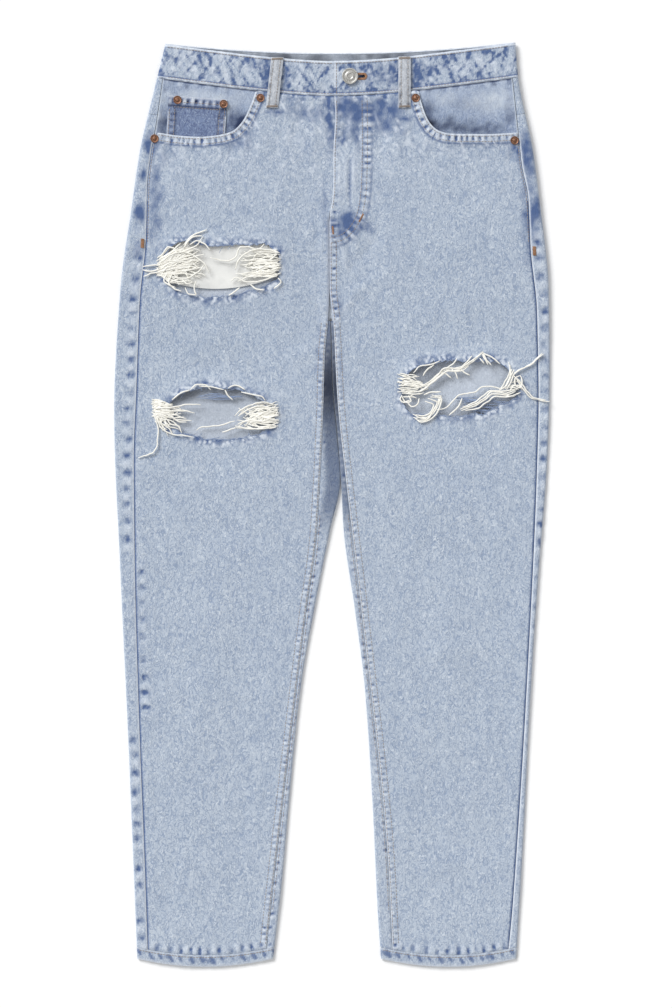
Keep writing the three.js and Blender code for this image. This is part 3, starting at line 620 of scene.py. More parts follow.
def set_out(name, data):
    """A new object in the scene."""
    made = bpy.data.objects.new(name, data)
    bpy.context.scene.collection.objects.link(made)
    return made


def new_object(name, points, faces, finish):
    mesh = bpy.data.meshes.new(name)
    mesh.from_pydata(to_frame(points).tolist(), [], faces)
    mesh.validate()
    mesh.shade_smooth()
    mesh.materials.append(bpy.data.materials[finish])
    return set_out(name, mesh)


def normals_of(points, faces):
    """Unit normal of each point of a mesh of triangles or quads."""
    corners = [points[faces[:, k]] for k in range(faces.shape[1])]
    face = np.cross(corners[1] - corners[0], corners[-1] - corners[0])
    face += np.cross(corners[2] - corners[1], corners[0] - corners[1])
    normals = np.zeros(points.shape)
    for k in range(faces.shape[1]):
        np.add.at(normals, faces[:, k], face)
    return unit(normals)


def area_of(points, faces):
    """Area of triangles or quads, in square metres."""
    arms = [points[faces[:, k]] - points[faces[:, 0]] for k in range(1, faces.shape[1])]
    halves = sum(np.linalg.norm(np.cross(a, b), axis=1) for a, b in zip(arms, arms[1:]))
    return halves.sum() / 2 * MM * MM


def shell(name, points, faces, wall, finish, indigo, pale, flip=False, deep=0.0,
          inner_deep=None):
    """A thin closed wall of cloth, with its right side, wrong side and edges; and its area."""
    points, area = np.asarray(points, float), area_of(points, faces)
    if flip:
        faces = faces[:, ::-1]
    count = len(points)
    inner = points - wall * normals_of(points, faces)
    starts, ends = faces.ravel(), np.roll(faces, -1, axis=1).ravel()
    lone = ~np.isin(starts * count + ends, ends * count + starts)
    a, b = starts[lone], ends[lone]
    walls = stacked(b, a, a + count, b + count)
    every = faces.tolist() + (faces[:, ::-1] + count).tolist() + walls.tolist()
    piece = new_object(name, np.vstack([points, inner]), every, finish)
    piece.data.set_sharp_from_angle(angle=math.radians(55))
    # Marks of each point: indigo, pale, the wrong side, and painted shade on the right side and on
    # the wrong side.
    for mark, outside, within in (
        ("indigo", indigo, indigo), ("pale", pale, pale), ("wrong_side", 0.0, 1.0),
        ("deep", deep, deep if inner_deep is None else inner_deep),
    ):
        values = [np.broadcast_to(np.ravel(side), count) for side in (outside, within)]
        made = piece.data.attributes.new(mark, "FLOAT", "POINT")
        made.data.foreach_set("value", np.concatenate(values).astype(np.float32))
    return piece, area


def grid(rows, columns):
    """Up and across at each point of a grid, from stations or from counts of steps."""
    places = [np.linspace(0, 1, k + 1) if isinstance(k, int) else k for k in (rows, columns)]
    return np.meshgrid(*places, indexing="ij")


def stations_of(counts, end=()):
    """Stations round a piece: each whole number to the next in so many steps."""
    parts = [np.linspace(k, k + 1, int(count) + 1)[:-1] for k, count in enumerate(counts)]
    return np.concatenate([*parts, end])


def grid_faces(rows, columns, keep=None, closed=False):
    """Quads over a grid of (rows + 1) by columns (+ 1) points."""
    width = columns if closed else columns + 1
    i, j = np.meshgrid(np.arange(rows), np.arange(columns), indexing="ij")
    if keep is not None:
        chosen = keep(i, j)
        i, j = i[chosen], j[chosen]
    i, j = i.ravel() * width, j.ravel()
    after = (j + 1) % width
    return stacked(i + j, i + after, i + width + after, i + width + j)


def compact(faces, count):
    """The points that the faces use, and the faces numbered by them."""
    used = np.unique(faces)
    number = np.full(count, -1)
    number[used] = np.arange(len(used))
    return used, number[faces]


def inside(polygon, x, y):
    """Whether each point is inside a polygon."""
    found = np.zeros(len(x), bool)
    before = np.roll(polygon, 1, axis=0)
    for (ax, ay), (bx, by) in zip(before, polygon):
        if ay == by:
            continue
        crosses = (ay > y) != (by > y)
        found ^= crosses & (x < (bx - ax) * (y - ay) / (by - ay) + ax)
    return found


def evenly(path, step, closed=True):
    """A path resampled at an even step, keeping its ends."""
    path = np.asarray(path, float)
    if closed:
        path = np.vstack([path, path[:1]])
    path = path[np.diff(walked(path), prepend=-1) > 1e-6]
    t = walked(path)
    even = np.linspace(0, t[-1], max(3, int(round(t[-1] / step))) + 1)
    points = np.column_stack([np.interp(even, t, column) for column in path.T])
    return points[:-1] if closed else points


FINE_REACH = 11.0


def lattice(low, high, spacing):
    """Points of a triangular lattice over a box."""
    rows = []
    for k, y in enumerate(np.arange(low[1], high[1], spacing * 0.87)):
        xs = np.arange(low[0] + (k % 2) * spacing / 2, high[0], spacing)
        rows.append(stacked(xs, np.full(len(xs), y)))
    return np.vstack(rows)


def cut_cloth(outline, holes, spacing, worked=()):
    """Points and triangles of a flat piece with holes, finer beside edges and worked lines."""
    rings = [evenly(outline, spacing * 0.6)] + [evenly(hole, spacing * 0.5) for hole in holes]
    edges, first = [], 0
    for ring in rings:
        edges += [(first + k, first + (k + 1) % len(ring)) for k in range(len(ring))]
        first += len(ring)
    border = np.vstack(rings)

    def in_cloth(points):
        kept = inside(rings[0], *points.T)
        for ring in rings[1:]:
            kept &= ~inside(ring, *points.T)
        return kept

    box = border.min(0), border.max(0)
    wide, fine = lattice(*box, spacing * 1.1), lattice(*box, spacing * 0.62)
    lines = [np.vstack([rings[0][::6], rings[0][:1]]), *worked]
    from_wide, from_fine = (
        np.min([near(line, *field.T)[0] for line in lines], axis=0) for field in (wide, fine)
    )
    field = np.vstack([wide[from_wide > FINE_REACH], fine[from_fine <= FINE_REACH]])
    field = field[in_cloth(field)]
    # No point of the lattice comes into a cell that is near a point of the border.
    cell, reach = spacing * 0.4, spacing * 0.3
    near_border = {
        (int((x + dx) // cell), int((y + dy) // cell))
        for x, y in border for dx in (-reach, 0, reach) for dy in (-reach, 0, reach)
    }
    keys = np.floor(field / cell).astype(int)
    free = np.array([(a, b) not in near_border for a, b in keys])
    every = np.vstack([border, field[free]])
    made = delaunay_2d_cdt([tuple(p) for p in every], edges, [], 0, 1e-6, False)
    flat, triangles = np.array([(p[0], p[1]) for p in made[0]]), np.array(made[2])
    triangles = triangles[in_cloth(flat[triangles].mean(1))]
    a, b, c = (flat[triangles[:, k]] for k in range(3))
    turned = np.cross(b - a, c - a) < 0
    triangles = np.where(turned[:, None], triangles[:, ::-1], triangles)
    used, triangles = compact(triangles, len(flat))
    return flat[used], triangles


def detail(name, parts, finish="topstitch_cotton", slot="washed_denim"):
    """A joined mesh of many small things that rides with the cloth."""
    piece = new_object(name, *joined(parts), finish)
    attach(piece, "root")
    return piece


def declare(node, cloth, flat, details=(), slot="washed_denim"):
    """Attach a cloth piece, hide the part that it stands for, and make what is sewn on it; its flat
    size in metres is not used.
    """
    piece, area = cloth
    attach(piece, "root")
    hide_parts(node)
    [detail(*each) for each in details]


def flat_cloth(name, edges, height, wall, step, finish, seams=(), below=False, clouds=(),
               shade_blots=(), pales=()):
    """A laid piece between left(y) and right(y), low(x) and high(x); and its area."""
    left, right, low, high = edges
    middle_x, across = (left(850) + right(850)) / 2, abs(right(850) - left(850))
    tall = high(middle_x) - low(middle_x)
    rows, columns = (max(3, int(size / step)) for size in (tall, across))
    v, u = grid(rows, columns)
    y = np.full(u.shape, 850.0)
    for _ in range(6):
        x = mix(left(y), right(y), u)
        y = mix(low(x), high(x), v)
    lift, indigo, pale = work_all(seams, x, y)
    indigo = np.maximum(indigo, broken(x, y, clouds))
    pale = np.maximum(pale, broken(x, y, pales))
    z = height(x, y) + (-lift if below else lift + rumple(x, y))
    points = stacked(x, y, np.maximum(z, 0.0) if below else z)
    # The last marks are painted shade, from the given shade blots.
    return shell(name, points, grid_faces(rows, columns), wall, finish, indigo, pale, below,
                 np.clip(broken(x, y, shade_blots), 0, 1))


# ---- Stitches, threads and other fine work ----

STITCH_SIDES = 5
STITCH_RADIUS = 0.32
STITCH_SHARE = 0.78  # how much of its pitch a stitch takes


def stitches(starts, ends, radius, sink=0.25):
    """Short rounded bars of thread from each start to each end, as one point list."""
    along = unit(ends - starts)
    side = unit(stacked(-along[:, 1], along[:, 0], np.zeros(len(along))))
    up = np.cross(along, side)
    rings = []
    for t, thick in ((0.0, 0.55), (0.22, 1.0), (0.78, 1.0), (1.0, 0.55)):
        middle = mix(starts, ends, t) - up * (sink if thick < 1 else 0)
        for k in range(STITCH_SIDES):
            turn = 2 * math.pi * k / STITCH_SIDES
            rings.append(middle + radius * thick * (math.cos(turn) * side + math.sin(turn) * up))
    points = np.stack(rings, axis=1).reshape(-1, 3)
    last = 3 * STITCH_SIDES
    pattern = [
        (a, a + STITCH_SIDES, b + STITCH_SIDES, b)
        for a in range(last)
        for b in [a + 1 if (a + 1) % STITCH_SIDES else a + 1 - STITCH_SIDES]
    ]
    pattern += [tuple(range(STITCH_SIDES)), tuple(range(last + STITCH_SIDES - 1, last - 1, -1))]
    firsts = range(0, len(points), 4 * STITCH_SIDES)
    return points, [tuple(first + i for i in face) for first in firsts for face in pattern]


def tube(path, radius, sides=6):
    """A thread along a path of 3-D points, thinner at its ends."""
    path = np.asarray(path, float)
    along = unit(np.gradient(path, axis=0))
    side = unit(np.cross(along, [0.0, 0.0, 1.0]))
    up = np.cross(side, along)
    t = np.linspace(0, 1, len(path))
    thick = radius * (0.55 + 0.45 * np.minimum(1, 6 * np.minimum(t, 1 - t)))
    turns = (2 * math.pi * np.arange(sides) / sides)[None, :, None]
    ring = np.cos(turns) * side[:, None, :] + np.sin(turns) * up[:, None, :]
    points = path[:, None, :] + thick[:, None, None] * ring
    last = (len(path) - 1) * sides
    faces = [tuple(range(sides - 1, -1, -1))]
    for first in range(0, last, sides):
        for k in range(sides):
            a, b = first + k, first + (k + 1) % sides
            faces.append((a, b, b + sides, a + sides))
    faces.append(tuple(range(last, last + sides)))
    return points.reshape(-1, 3), faces


def joined(parts):
    """Several (points, faces) lists as one; none goes deep under the resting side."""
    points, faces, first = [], [], 0
    for some_points, some_faces in parts:
        points.append(some_points)
        faces += [tuple(first + i for i in face) for face in some_faces]
        first += len(some_points)
    points = np.vstack(points)
    points[:, 2] = np.maximum(points[:, 2], -0.12)
    return points, faces


def stitch_row(path, surface, down=False):
    """A row of stitches on a surface; down puts them on its underside."""
    path = np.asarray(path, float)
    t, pitch = walked(path), sizes().stitch_pitch / MM
    places, ends = np.arange(pitch / 2, t[-1], pitch), []
    for shift in (-STITCH_SHARE / 2, STITCH_SHARE / 2):
        x, y = (np.interp(places + shift * pitch, t, column) for column in path.T)
        ends.append(stacked(x, y, surface(x, y) + (-0.1 if down else 0.1)))
    return stitches(*ends, STITCH_RADIUS, -0.25 if down else 0.25)


def satin(path, surface, width, pitch=0.75, radius=0.36, down=False):
    """Stitches side by side across a path, as in a bartack or a buttonhole."""
    even = evenly(path, pitch, closed=False)
    lean = 0.12 * unit(np.gradient(even, axis=0)) * width
    ends = []
    for way in (-0.5, 0.5):
        flat = even + way * (width * sideways(even) + lean)
        ends.append(np.column_stack([flat, surface(*flat.T) + (-0.25 if down else 0.25)]))
    return stitches(*ends, radius, 0.2)


def bartack(x, y, long, angle, surface, width=2.2, down=False):
    turn = math.radians(angle)
    dx, dy = math.cos(turn) * long / 2, math.sin(turn) * long / 2
    return satin([(x - dx, y - dy), (x + dx, y + dy)], surface, width, down=down)


def double_row(path, surface, first, down=False):
    """Two parallel rows of stitches, the first one at a distance from a path."""
    gap = math.copysign(sizes().row_gap / MM, first)
    return [
        stitch_row(evenly(shifted(path, offset), 3.0, False), surface, down=down)
        for offset in (first, first + gap)
    ]


# ---- Surfaces that stitches and pieces share ----


def facing_depth(y):
    return 2 * PLY - 1.2 * ramp(y, 892, 930)


def on_front(side):
    return lambda x, y: front_surface(side, x, y)[0]


def over_top(lift):
    return lambda x, y: top_of(x, y) + rumple(x, y) + lift


def ground(x, y):
    return 0 * x


def under_z(x, y):
    """Height of the underside of a back or yoke, for stitching on it."""
    return underside(y) + 0 * x


def coin_z(x, y):
    return top_of(x, y) - (facing_depth(y) - PLY)


def band_height(x, half):
    if half == "right":
        return mix(BAND_HEIGHT, BAND_END_HEIGHT, ramp(x, -45, -14))
    return mix(BAND_END_HEIGHT + SEAM_GAP + BAND_WALL, BAND_HEIGHT, ramp(x, 28, 60))


def band_marks(x, y, low, high):
    """Lift, indigo and pale of the waistband between its lower and upper edges."""
    tall = high - low
    up, down = y - low, high - y
    slant = x + 0.55 * (y - low)
    blots = soft_noise(slant * 1.5, y * 0.55, 5.6, 101)
    other = soft_noise((x - 0.6 * (y - low)) * 1.5, y * 0.6, 6.0, 104)
    fine = soft_noise(x, y, 3.2, 102)
    edge = np.exp(-((up / 9) ** 2)) + np.exp(-((down / 9) ** 2))
    comb = np.clip(np.cos(2 * np.pi * slant / 15.5 + 1.2 * soft_noise(x, 5, 30, 103)), 0, 1)
    wisps = soft_noise(slant * 2.6, y * 0.7, 6, 105)
    dark = ramp(0.75 * np.maximum(blots, other) + 0.3 * fine + 0.4 * comb * edge + 0.35 * wisps,
                0.14, 0.72)
    dark = np.maximum(dark, washed(x, y))
    dark = dark * (0.8 + 0.5 * soft_noise(x, y, 2.2, 106))
    ridges = bump(up, 1.0, 1.1) + bump(down, 1.0, 1.3)
    lift = 0.35 * ridges - 0.35 * dark * (1 - ridges) - 0.35 * bump(up, 3.2, 0.9)
    lift = lift - 0.35 * bump(down, 3.4, 0.9) + 0.25 * blots
    rounded = 0.9 * (np.clip(1 - up / 1.2, 0, 1) ** 2 + np.clip(1 - down / 1.2, 0, 1) ** 2)
    pale = 0.95 * ridges + 0.35 * (fine > 0.3) * (1 - edge) + 0.4 * ramp(-blots, 0.1, 0.6)
    pale = np.maximum(pale, bump(x, -5.6, 0.9))
    pale = np.clip(pale, 0, 1) * (1 - dark * (1 - ridges))
    dark = np.maximum(1.1 * dark * (1 - 0.8 * ridges), 0.9 * bump(up, 3.2, 0.9))
    dark = np.maximum(dark, 0.5 * bump(down, 3.4, 0.9))
    return lift - rounded * (tall > 0), dark, pale


def band_front_z(x, y):
    """Height of the front of the waistband, its left half lapped over its right."""
    half = np.where(x > -6.6, band_height(x, "left"), band_height(x, "right"))
    lift = band_marks(x, y, front_seam(x), front_top(x))[0]
    return half + lift + rumple(x, y)


def loop_edges(x, lean, on_front_side):
    """X of a belt loop's middle at each Y, its foot and its top."""
    foot = LOOP_FOOT[on_front_side]
    top = float(front_top(x) if on_front_side else back_top(x))
    return lambda y: x + lean * ((y - foot) / (top - foot) - 0.5), foot, top


def loop_z(place, x, y):
    """Height of a front belt loop, which stands off the band in the middle."""
    _, foot, top = loop_edges(*place)
    t = np.clip((y - foot) / (top - foot), 0, 1)
    bed = max(float(top_of(place[0], 930)), BAND_HEIGHT + 0.2)
    across = (x - place[0] - place[1] * (t - 0.5)) / (LOOP_WIDTH / 2)
    rounded = 0.8 * np.clip((abs(across) - 0.72) / 0.28, 0, 1) ** 2
    ends = np.exp(-((t / 0.05) ** 2)) + np.exp(-(((1 - t) / 0.05) ** 2))
    wave = 0.3 * np.cos(across * 4.2) + 0.25 * soft_noise(x, y, 5, 111)
    return bed + SEAM_GAP + LOOP_WALL + 1.3 * np.sin(np.pi * t) - rounded + 0.3 * ends + wave


# ---- Materials ----


def linear(code):
    """An sRGB hex colour in linear light, with full opacity."""
    parts = [int(code[k:k + 2], 16) / 255 for k in (1, 3, 5)]
    return tuple(c / 12.92 if c <= 0.04045 else ((c + 0.055) / 1.055) ** 2.4 for c in parts) + (1.0,)


def add_node(tree, kind, inputs=None, **settings):
    """Add a node with its settings and inputs; an input given a socket is linked."""
    made = tree.nodes.new(kind)
    for name, value in settings.items():
        setattr(made, name, value)
    for key, value in (inputs or {}).items():
        if isinstance(value, bpy.types.NodeSocket):
            tree.links.new(value, made.inputs[key])
        else:
            made.inputs[key].default_value = value
    return made


def new_material(name):
    """The node tree of a new material, and where on the object each point is."""
    material = bpy.data.materials.new(name)
    material.use_nodes = True
    material.node_tree.nodes.clear()
    tree = material.node_tree
    return tree, add_node(tree, "ShaderNodeTexCoord").outputs["Object"]


def finish_material(tree, colour, rough, specular=0.5, **inputs):
    surface = add_node(tree, "ShaderNodeBsdfPrincipled", {
        "Base Color": colour, "Roughness": rough, "Specular IOR Level": specular, **inputs})
    add_node(tree, "ShaderNodeOutputMaterial", {"Surface": surface.outputs[0]})


def noise(tree, place, scale, detail=2.0, rough=0.5, twist=0.0):
    return add_node(tree, "ShaderNodeTexNoise", {
        "Vector": place, "Scale": scale, "Detail": detail, "Roughness": rough,
        "Distortion": twist}).outputs[0]


def bands(tree, place, scale, twist, way="DIAGONAL", **inputs):
    return add_node(tree, "ShaderNodeTexWave", {
        "Vector": place, "Scale": 2 * math.pi / scale, "Distortion": twist, **inputs,
    }, bands_direction=way).outputs[1]


def turned(tree, place, turn, squash, shift=0):
    return add_node(tree, "ShaderNodeMapping", {
        "Vector": place, "Location": (shift, 0, 0), "Rotation": (0, 0, turn),
        "Scale": (1.0, squash, 1.0)}).outputs[0]


def fitted(tree, value, low, high, to_low=0.0, to_high=1.0):
    return add_node(tree, "ShaderNodeMapRange", {
        "Value": value, "From Min": low, "From Max": high, "To Min": to_low,
        "To Max": to_high}).outputs[0]


def relief(tree, height, distance, strength):
    return add_node(tree, "ShaderNodeBump", {
        "Height": height, "Distance": distance, "Strength": strength}).outputs[0]


def ramp_of(tree, factor, stops):
    made = add_node(tree, "ShaderNodeValToRGB", {"Fac": factor})
    steps = made.color_ramp.elements
    while len(steps) < len(stops):
        steps.new(0.5)
    for step, (place, colour) in zip(steps, stops):
        step.position = place
        step.color = colour
    return made.outputs["Color"]


def mixed(tree, factor, first, second):
    made = add_node(tree, "ShaderNodeMix", {0: factor, 6: first, 7: second}, data_type="RGBA")
    return made.outputs[2]


def times(tree, first, second, how="MULTIPLY"):
    return add_node(tree, "ShaderNodeMath", {0: first, 1: second}, operation=how).outputs[0]


def weighed(tree, first, share, second, other_share):
    """Two values added, each by its share."""
    return times(tree, times(tree, first, share), times(tree, second, other_share), "ADD")


def washed_twill(name, tones, indigo, pale, wrong, stroke=0.0030):
    """Cotton twill bleached with pumice: soft strokes where the stones rubbed, indigo
    left in the hollows of the seams with painted shade in their grooves, and worn white on their
    ridges."""
    tree, place = new_material(name)
    # The stones' strokes are about 1.5 mm across and 5 mm long, mostly up the leg.
    strokes = noise(tree, turned(tree, place, 0.45, 0.5), 1 / stroke, 3.0, 0.65, 1.8)
    clouds = noise(tree, place, 24.0, 4.0, 0.6)
    grains = noise(tree, place, 1100.0, 2.0, 0.6)
    # Curly lines about 1 mm wide and 4 mm apart, where a stone's edge ran.
    curls = []
    for turn, apart in ((0.5, 0.0054), (-0.6, 0.0056), (0.1, 0.0050)):
        field = noise(tree, turned(tree, place, turn, 0.62, turn), 1 / apart, 1.0, 0.5, 1.4)
        off = times(tree, times(tree, field, 0.5, "SUBTRACT"), 0, "ABSOLUTE")
        curls.append(fitted(tree, off, 0.005, 0.045, 1.0, 0.0))
    # Twill lines are 0.6 mm apart in the cloth, and drawn 1.1 mm apart so that they show.
    twill = bands(tree, place, 10 * 0.0011 * 1.4, 1.5, **{"Detail": 1.0, "Detail Scale": 3.0})
    # The legs are washed a little paler towards the hems.
    up_leg = add_node(tree, "ShaderNodeSeparateXYZ", {"Vector": place}).outputs[1]
    fade = fitted(tree, up_leg, -0.49, 0.40, 0.035, -0.035)
    tone = times(tree, weighed(tree, strokes, 0.72, clouds, 0.28), fade, "ADD")
    soft = [tuple(mix(np.array(tones[1]), np.array(other), 0.35)) for other in tones]
    cloth = ramp_of(tree, tone, [(0.3, soft[0]), (0.5, tones[1]), (0.68, soft[2])])
    for value, share, other in (
        (curls[0], 0.7, tones[2]), (curls[1], 0.95, tones[0]), (curls[2], 0.85, tones[0]),
        (grains, 0.06, (0.9, 0.92, 0.95, 1)),
    ):
        cloth = mixed(tree, times(tree, value, share), cloth, other)
    marks = {
        mark: add_node(tree, "ShaderNodeAttribute", attribute_name=mark).outputs["Fac"]
        for mark in ("indigo", "pale", "wrong_side", "deep")
    }
    # The stones leave indigo in broken flecks, not in a clean edge.
    flecks = times(tree, marks["indigo"], times(tree, strokes, 0.9, "ADD"))
    cloth = mixed(tree, fitted(tree, flecks, 0.18, 1.25), cloth, indigo)
    worn = times(tree, marks["pale"], times(tree, strokes, 0.45, "ADD"))
    cloth = mixed(tree, times(tree, worn, 1.0, "MINIMUM"), cloth, pale)
    cloth = mixed(tree, times(tree, marks["wrong_side"], 0.9), cloth,
                  mixed(tree, strokes, wrong, pale))
    # Painted shade: in a recess, a gaping pocket, inside a rip or inside the waistband the cloth is
    # darkened towards near black.
    cloth = mixed(tree, times(tree, marks["deep"], 0.95), cloth, linear("#262b3a"))
    fine = weighed(tree, twill, 0.4, strokes, 0.7)
    fine = times(tree, fine, times(tree, curls[0], 0.6), "ADD")
    fine = times(tree, fine, times(tree, curls[1], 0.6), "SUBTRACT")
    finish_material(tree, cloth, 0.92, 0.2, Normal=relief(tree, fine, 0.0005, 0.6))


def spun_yarn(name, light, dark):
    """Spun cotton: two plies twisted together, matt, a little uneven in colour."""
    tree, place = new_material(name)
    plies = bands(tree, place, 10 * 0.0012, 2.0)
    tone = weighed(tree, noise(tree, place, 260.0), 0.7, plies, 0.3)
    colour = ramp_of(tree, tone, [(0.3, dark), (0.62, light)])
    finish_material(tree, colour, 0.85, 0.25, Normal=relief(tree, plies, 0.00015, 0.5))


def plain_weave(name, light, dark):
    """Plain-woven cotton: threads over and under each other, matt."""
    tree, place = new_material(name)
    weave = times(tree, *(bands(tree, place, 20 * 0.0008, 0.6, way) for way in "XY"))
    tone = weighed(tree, weave, 0.35, noise(tree, place, 60.0, 3.0), 0.65)
    colour = ramp_of(tree, tone, [(0.25, dark), (0.6, light)])
    finish_material(tree, colour, 0.9, 0.2, Normal=relief(tree, weave, 0.0002, 0.4))


def worn_metal(name, bright, dull, roughness):
    """Plated metal rubbed by wear: brighter on the rubbed places, dull in the hollows."""
    tree, place = new_material(name)
    rubs = noise(tree, place, 900.0, 4.0, 0.7)
    colour = ramp_of(tree, rubs, [(0.35, dull), (0.6, bright)])
    rough = fitted(tree, rubs, 0.0, 1.0, roughness + 0.12, roughness - 0.08)
    finish_material(tree, colour, rough, Metallic=1.0, Normal=relief(tree, rubs, 0.0001, 0.3))


def make_materials(colours):
    """Every finish of the jeans, in hex colours or the user's own by name."""
    def tones(codes):
        return [linear(code) if code[0] == "#" else tuple(getattr(colours, code))
                for code in codes.split()]

    for name, codes, stroke in (
        ("washed_twill", "denim_shade denim denim_light left_indigo worn_ridge", 0.0030),
        ("less_washed_twill", "#536288 facing #9fadc6 #26314f #d5dce6", 0.0034),
        ("half_washed_twill", "#7c8cab #98a7c0 #b4c0d1 #384566 #ccd5e0", 0.0034),
        ("worn_loop_twill", "#8d949f #b3b8bf #d3d6da #454d60 #d4d8e0", 0.0026),
    ):
        *cloth, indigo, pale, wrong = tones(codes + " wrong_side")
        washed_twill(name, cloth, indigo, pale, wrong, stroke)
    for make, name, codes, *more in (
        (plain_weave, "pocketing_cotton", "#efefec #d6d7d6"),
        (plain_weave, "woven_zip_tape", "#7d879b #5b657a"),
        (spun_yarn, "topstitch_cotton", "topstitch #8d8681"),
        (spun_yarn, "bartack_cotton", "bartack #8c664c"),
        (spun_yarn, "frayed_weft_cotton", "fray #e9e6dc"),
        (spun_yarn, "frayed_warp_cotton", "#9dacc6 #7386ab"),
        (worn_metal, "worn_copper_plate", "#a87f69 #4f3a30", 0.5),
        (worn_metal, "brushed_steel_plate", "#d8d7d3 #8f8d88", 0.46),
    ):
        make(name, *tones(codes), *more)


# ---- Sizes and colours that a user would change ----


def colour(name, description, code):
    return bpy.props.FloatVectorProperty(
        name=name, description=description, default=linear(code), size=4, min=0, max=1,
        subtype="COLOR")


def size(name, description, default, low=0.0, high=1.0):
    return bpy.props.FloatProperty(
        name=name, description=description, default=default, min=low, max=high,
        subtype="DISTANCE", unit="LENGTH", precision=5)


class JeansColours(bpy.types.PropertyGroup):
    """Colours of the jeans' cloth, thread and metal."""

    denim: colour("Denim", "Mean colour of the washed twill", "#b0bccc")
    denim_shade: colour("Denim, darker", "Where the stones rubbed less", "#8a9ab4")
    denim_light: colour("Denim, lighter", "Where the stones rubbed most", "#d3dbe4")
    left_indigo: colour("Left indigo", "Indigo left in the hollows of seams", "#536892")
    worn_ridge: colour("Worn ridge", "Cotton worn white on ridges", "#dde4ee")
    wrong_side: colour("Wrong side", "Inside of the twill", "#a3adbd")
    facing: colour("Pocket facing", "Twill that the wash didn't reach", "#7586a8")
    topstitch: colour("Topstitch thread", "Faded tan thread", "#a89a90")
    bartack: colour("Bartack thread", "Orange thread of the bartacks", "#b58c6e")
    fray: colour("Frayed weft", "Bare cotton of the rips", "#fdfcf6")


class JeansSizes(bpy.types.PropertyGroup):
    """Sizes of the jeans' finer work."""

    front_spacing: size("Front mesh", "Spacing of the fronts' mesh", 0.0024, 0.001, 0.01)
    back_spacing: size("Back mesh", "Spacing of the backs' mesh", 0.0036, 0.001, 0.01)
    band_spacing: size("Band mesh", "Spacing of the waistband's mesh", 0.0015, 0.001, 0.01)
    stitch_pitch: size("Stitch", "Length of one stitch with its gap", 0.0032, 0.002, 0.006)
    row_gap: size("Double row", "Distance between two rows of stitching", 0.0055, 0.003, 0.01)
    fray_wobble: size("Ragged edge", "How far the edge of a rip wanders", 0.0016, 0, 0.01)
    yarn: size("Frayed yarn", "Diameter of a frayed yarn", 0.0014, 0.0005, 0.003)


def sizes():
    return bpy.context.scene.jeans_sizes


class JEANS_OT_finishes(bpy.types.Operator):
    """Make the materials of the jeans"""

    bl_idname = "jeans.finishes"
    bl_label = "Finishes"

    def execute(self, context):
        make_materials(context.scene.jeans_colours)
        return {"FINISHED"}


# ---- Fronts ----


def front_outline(side):
    """Outline of a front: hem, fly or inseam, waist, pocket opening and outseam."""
    edge, middle, opening = partial(seam_of, side), MIDDLE[side], OPENING_PATH[side]
    kept = WAY[side] * (opening[:, 0] - edge(opening[:, 1])) > 0.2
    kept &= opening[:, 1] < front_seam(opening[:, 0]) - SEAM_GAP
    opening = opening[kept]
    fold = lambda x: hem_edge(side, x) + HEM_DEPTH + SEAM_GAP
    corner_y = foot_y = 20.0
    for _ in range(8):
        corner_y, foot_y = float(fold(edge(corner_y))), float(fold(middle(foot_y)))
    hem = np.linspace(edge(corner_y), middle(foot_y), 30)
    up = np.linspace(foot_y, float(front_seam(middle(920)) - SEAM_GAP), 150)[1:]
    inner = middle(up) + np.where(up > FLY_FOOT_Y, UNDERLAP * (side == "right"), 0)
    top = np.linspace(inner[-1], opening[-1][0], 30)[1:-1]
    down = np.linspace(opening[0][1], corner_y, 150)[1:-1]
    return np.vstack([
        stacked(hem, fold(hem)), stacked(inner, up),
        stacked(top, front_seam(top) - SEAM_GAP), opening[::-1],
        stacked(edge(down), down),
    ])


def front_stitching(side):
    """Topstitching of one front."""
    surface, way, opening = on_front(side), WAY[side], OPENING_PATH[side]
    hip = climb(partial(seam_of, side), 768, 884, 6)
    leg = climb(MIDDLE[side], 24, CROTCH_Y - 2, 6)
    on_cloth = way * (opening[:, 0] - seam_of(side, opening[:, 1])) > 1
    on_cloth &= opening[:, 1] < front_seam(opening[:, 0]) - 2
    rows = [stitch_row(evenly(shifted(hip, -way * 1.6), 3, False), surface)]
    rows += double_row(leg, surface, way * 1.3)
    rows += double_row(opening[on_cloth], surface, -way * 2.2)
    if side == "left":
        rows += double_row(climb(MIDDLE[side], CROTCH_Y, 768, 6), surface, -1.8)
        first = 2.5 - sizes().row_gap / MM / 2
        rows += double_row(smooth_path(FLY_STITCH, 4), surface, first)
        edge = climb(MIDDLE[side], FLY_FOOT_Y, 918, 6)
        rows.append(stitch_row(evenly(shifted(edge, -1.8), 3, False), surface))
    return rows


def front_bartacks(side):
    """Bartacks of one front, where the strain comes."""
    if side == "right":
        return [bartack(-209.2, 767, 9, 88, over_top(0.5), 4.0)]
    return [
        bartack(206.0, 759, 9, 92, over_top(0.5), 4.0),
        bartack(22.5, 794, 9, 62, on_front(side), 2.0),
        bartack(-7.5, 781, 8, 95, on_front(side), 2.0),
    ]


def rip_fringe(side):
    """Short warp yarns, still blue, that lie along the ragged edges of the rips."""
    draw = np.random.default_rng(60 + WAY[side])
    surface, parts = on_front(side), []
    steps = np.linspace(-0.3, 1, 6)[:, None]
    for rip in RIPS[side]:
        edge = evenly(rip_edges(rip, 1.6), 2.6)
        for place, way in zip(edge, unit(np.roll(edge, -1, axis=0) - edge)):
            inward = (edge.mean(0) - place) * (0.25, 1.0)
            inward /= np.linalg.norm(inward)
            reach = draw.uniform(2.5, 9.0)
            heading = 0.35 * draw.uniform(-1.2, 1.0) * inward + way
            drift = draw.normal(0, 0.3, 2)
            flat = place + reach * steps * heading + reach * drift * steps ** 2
            path = np.column_stack([flat, surface(*flat.T) + 0.12])
            parts.append(tube(path, draw.uniform(0.2, 0.34), 5))
    return parts


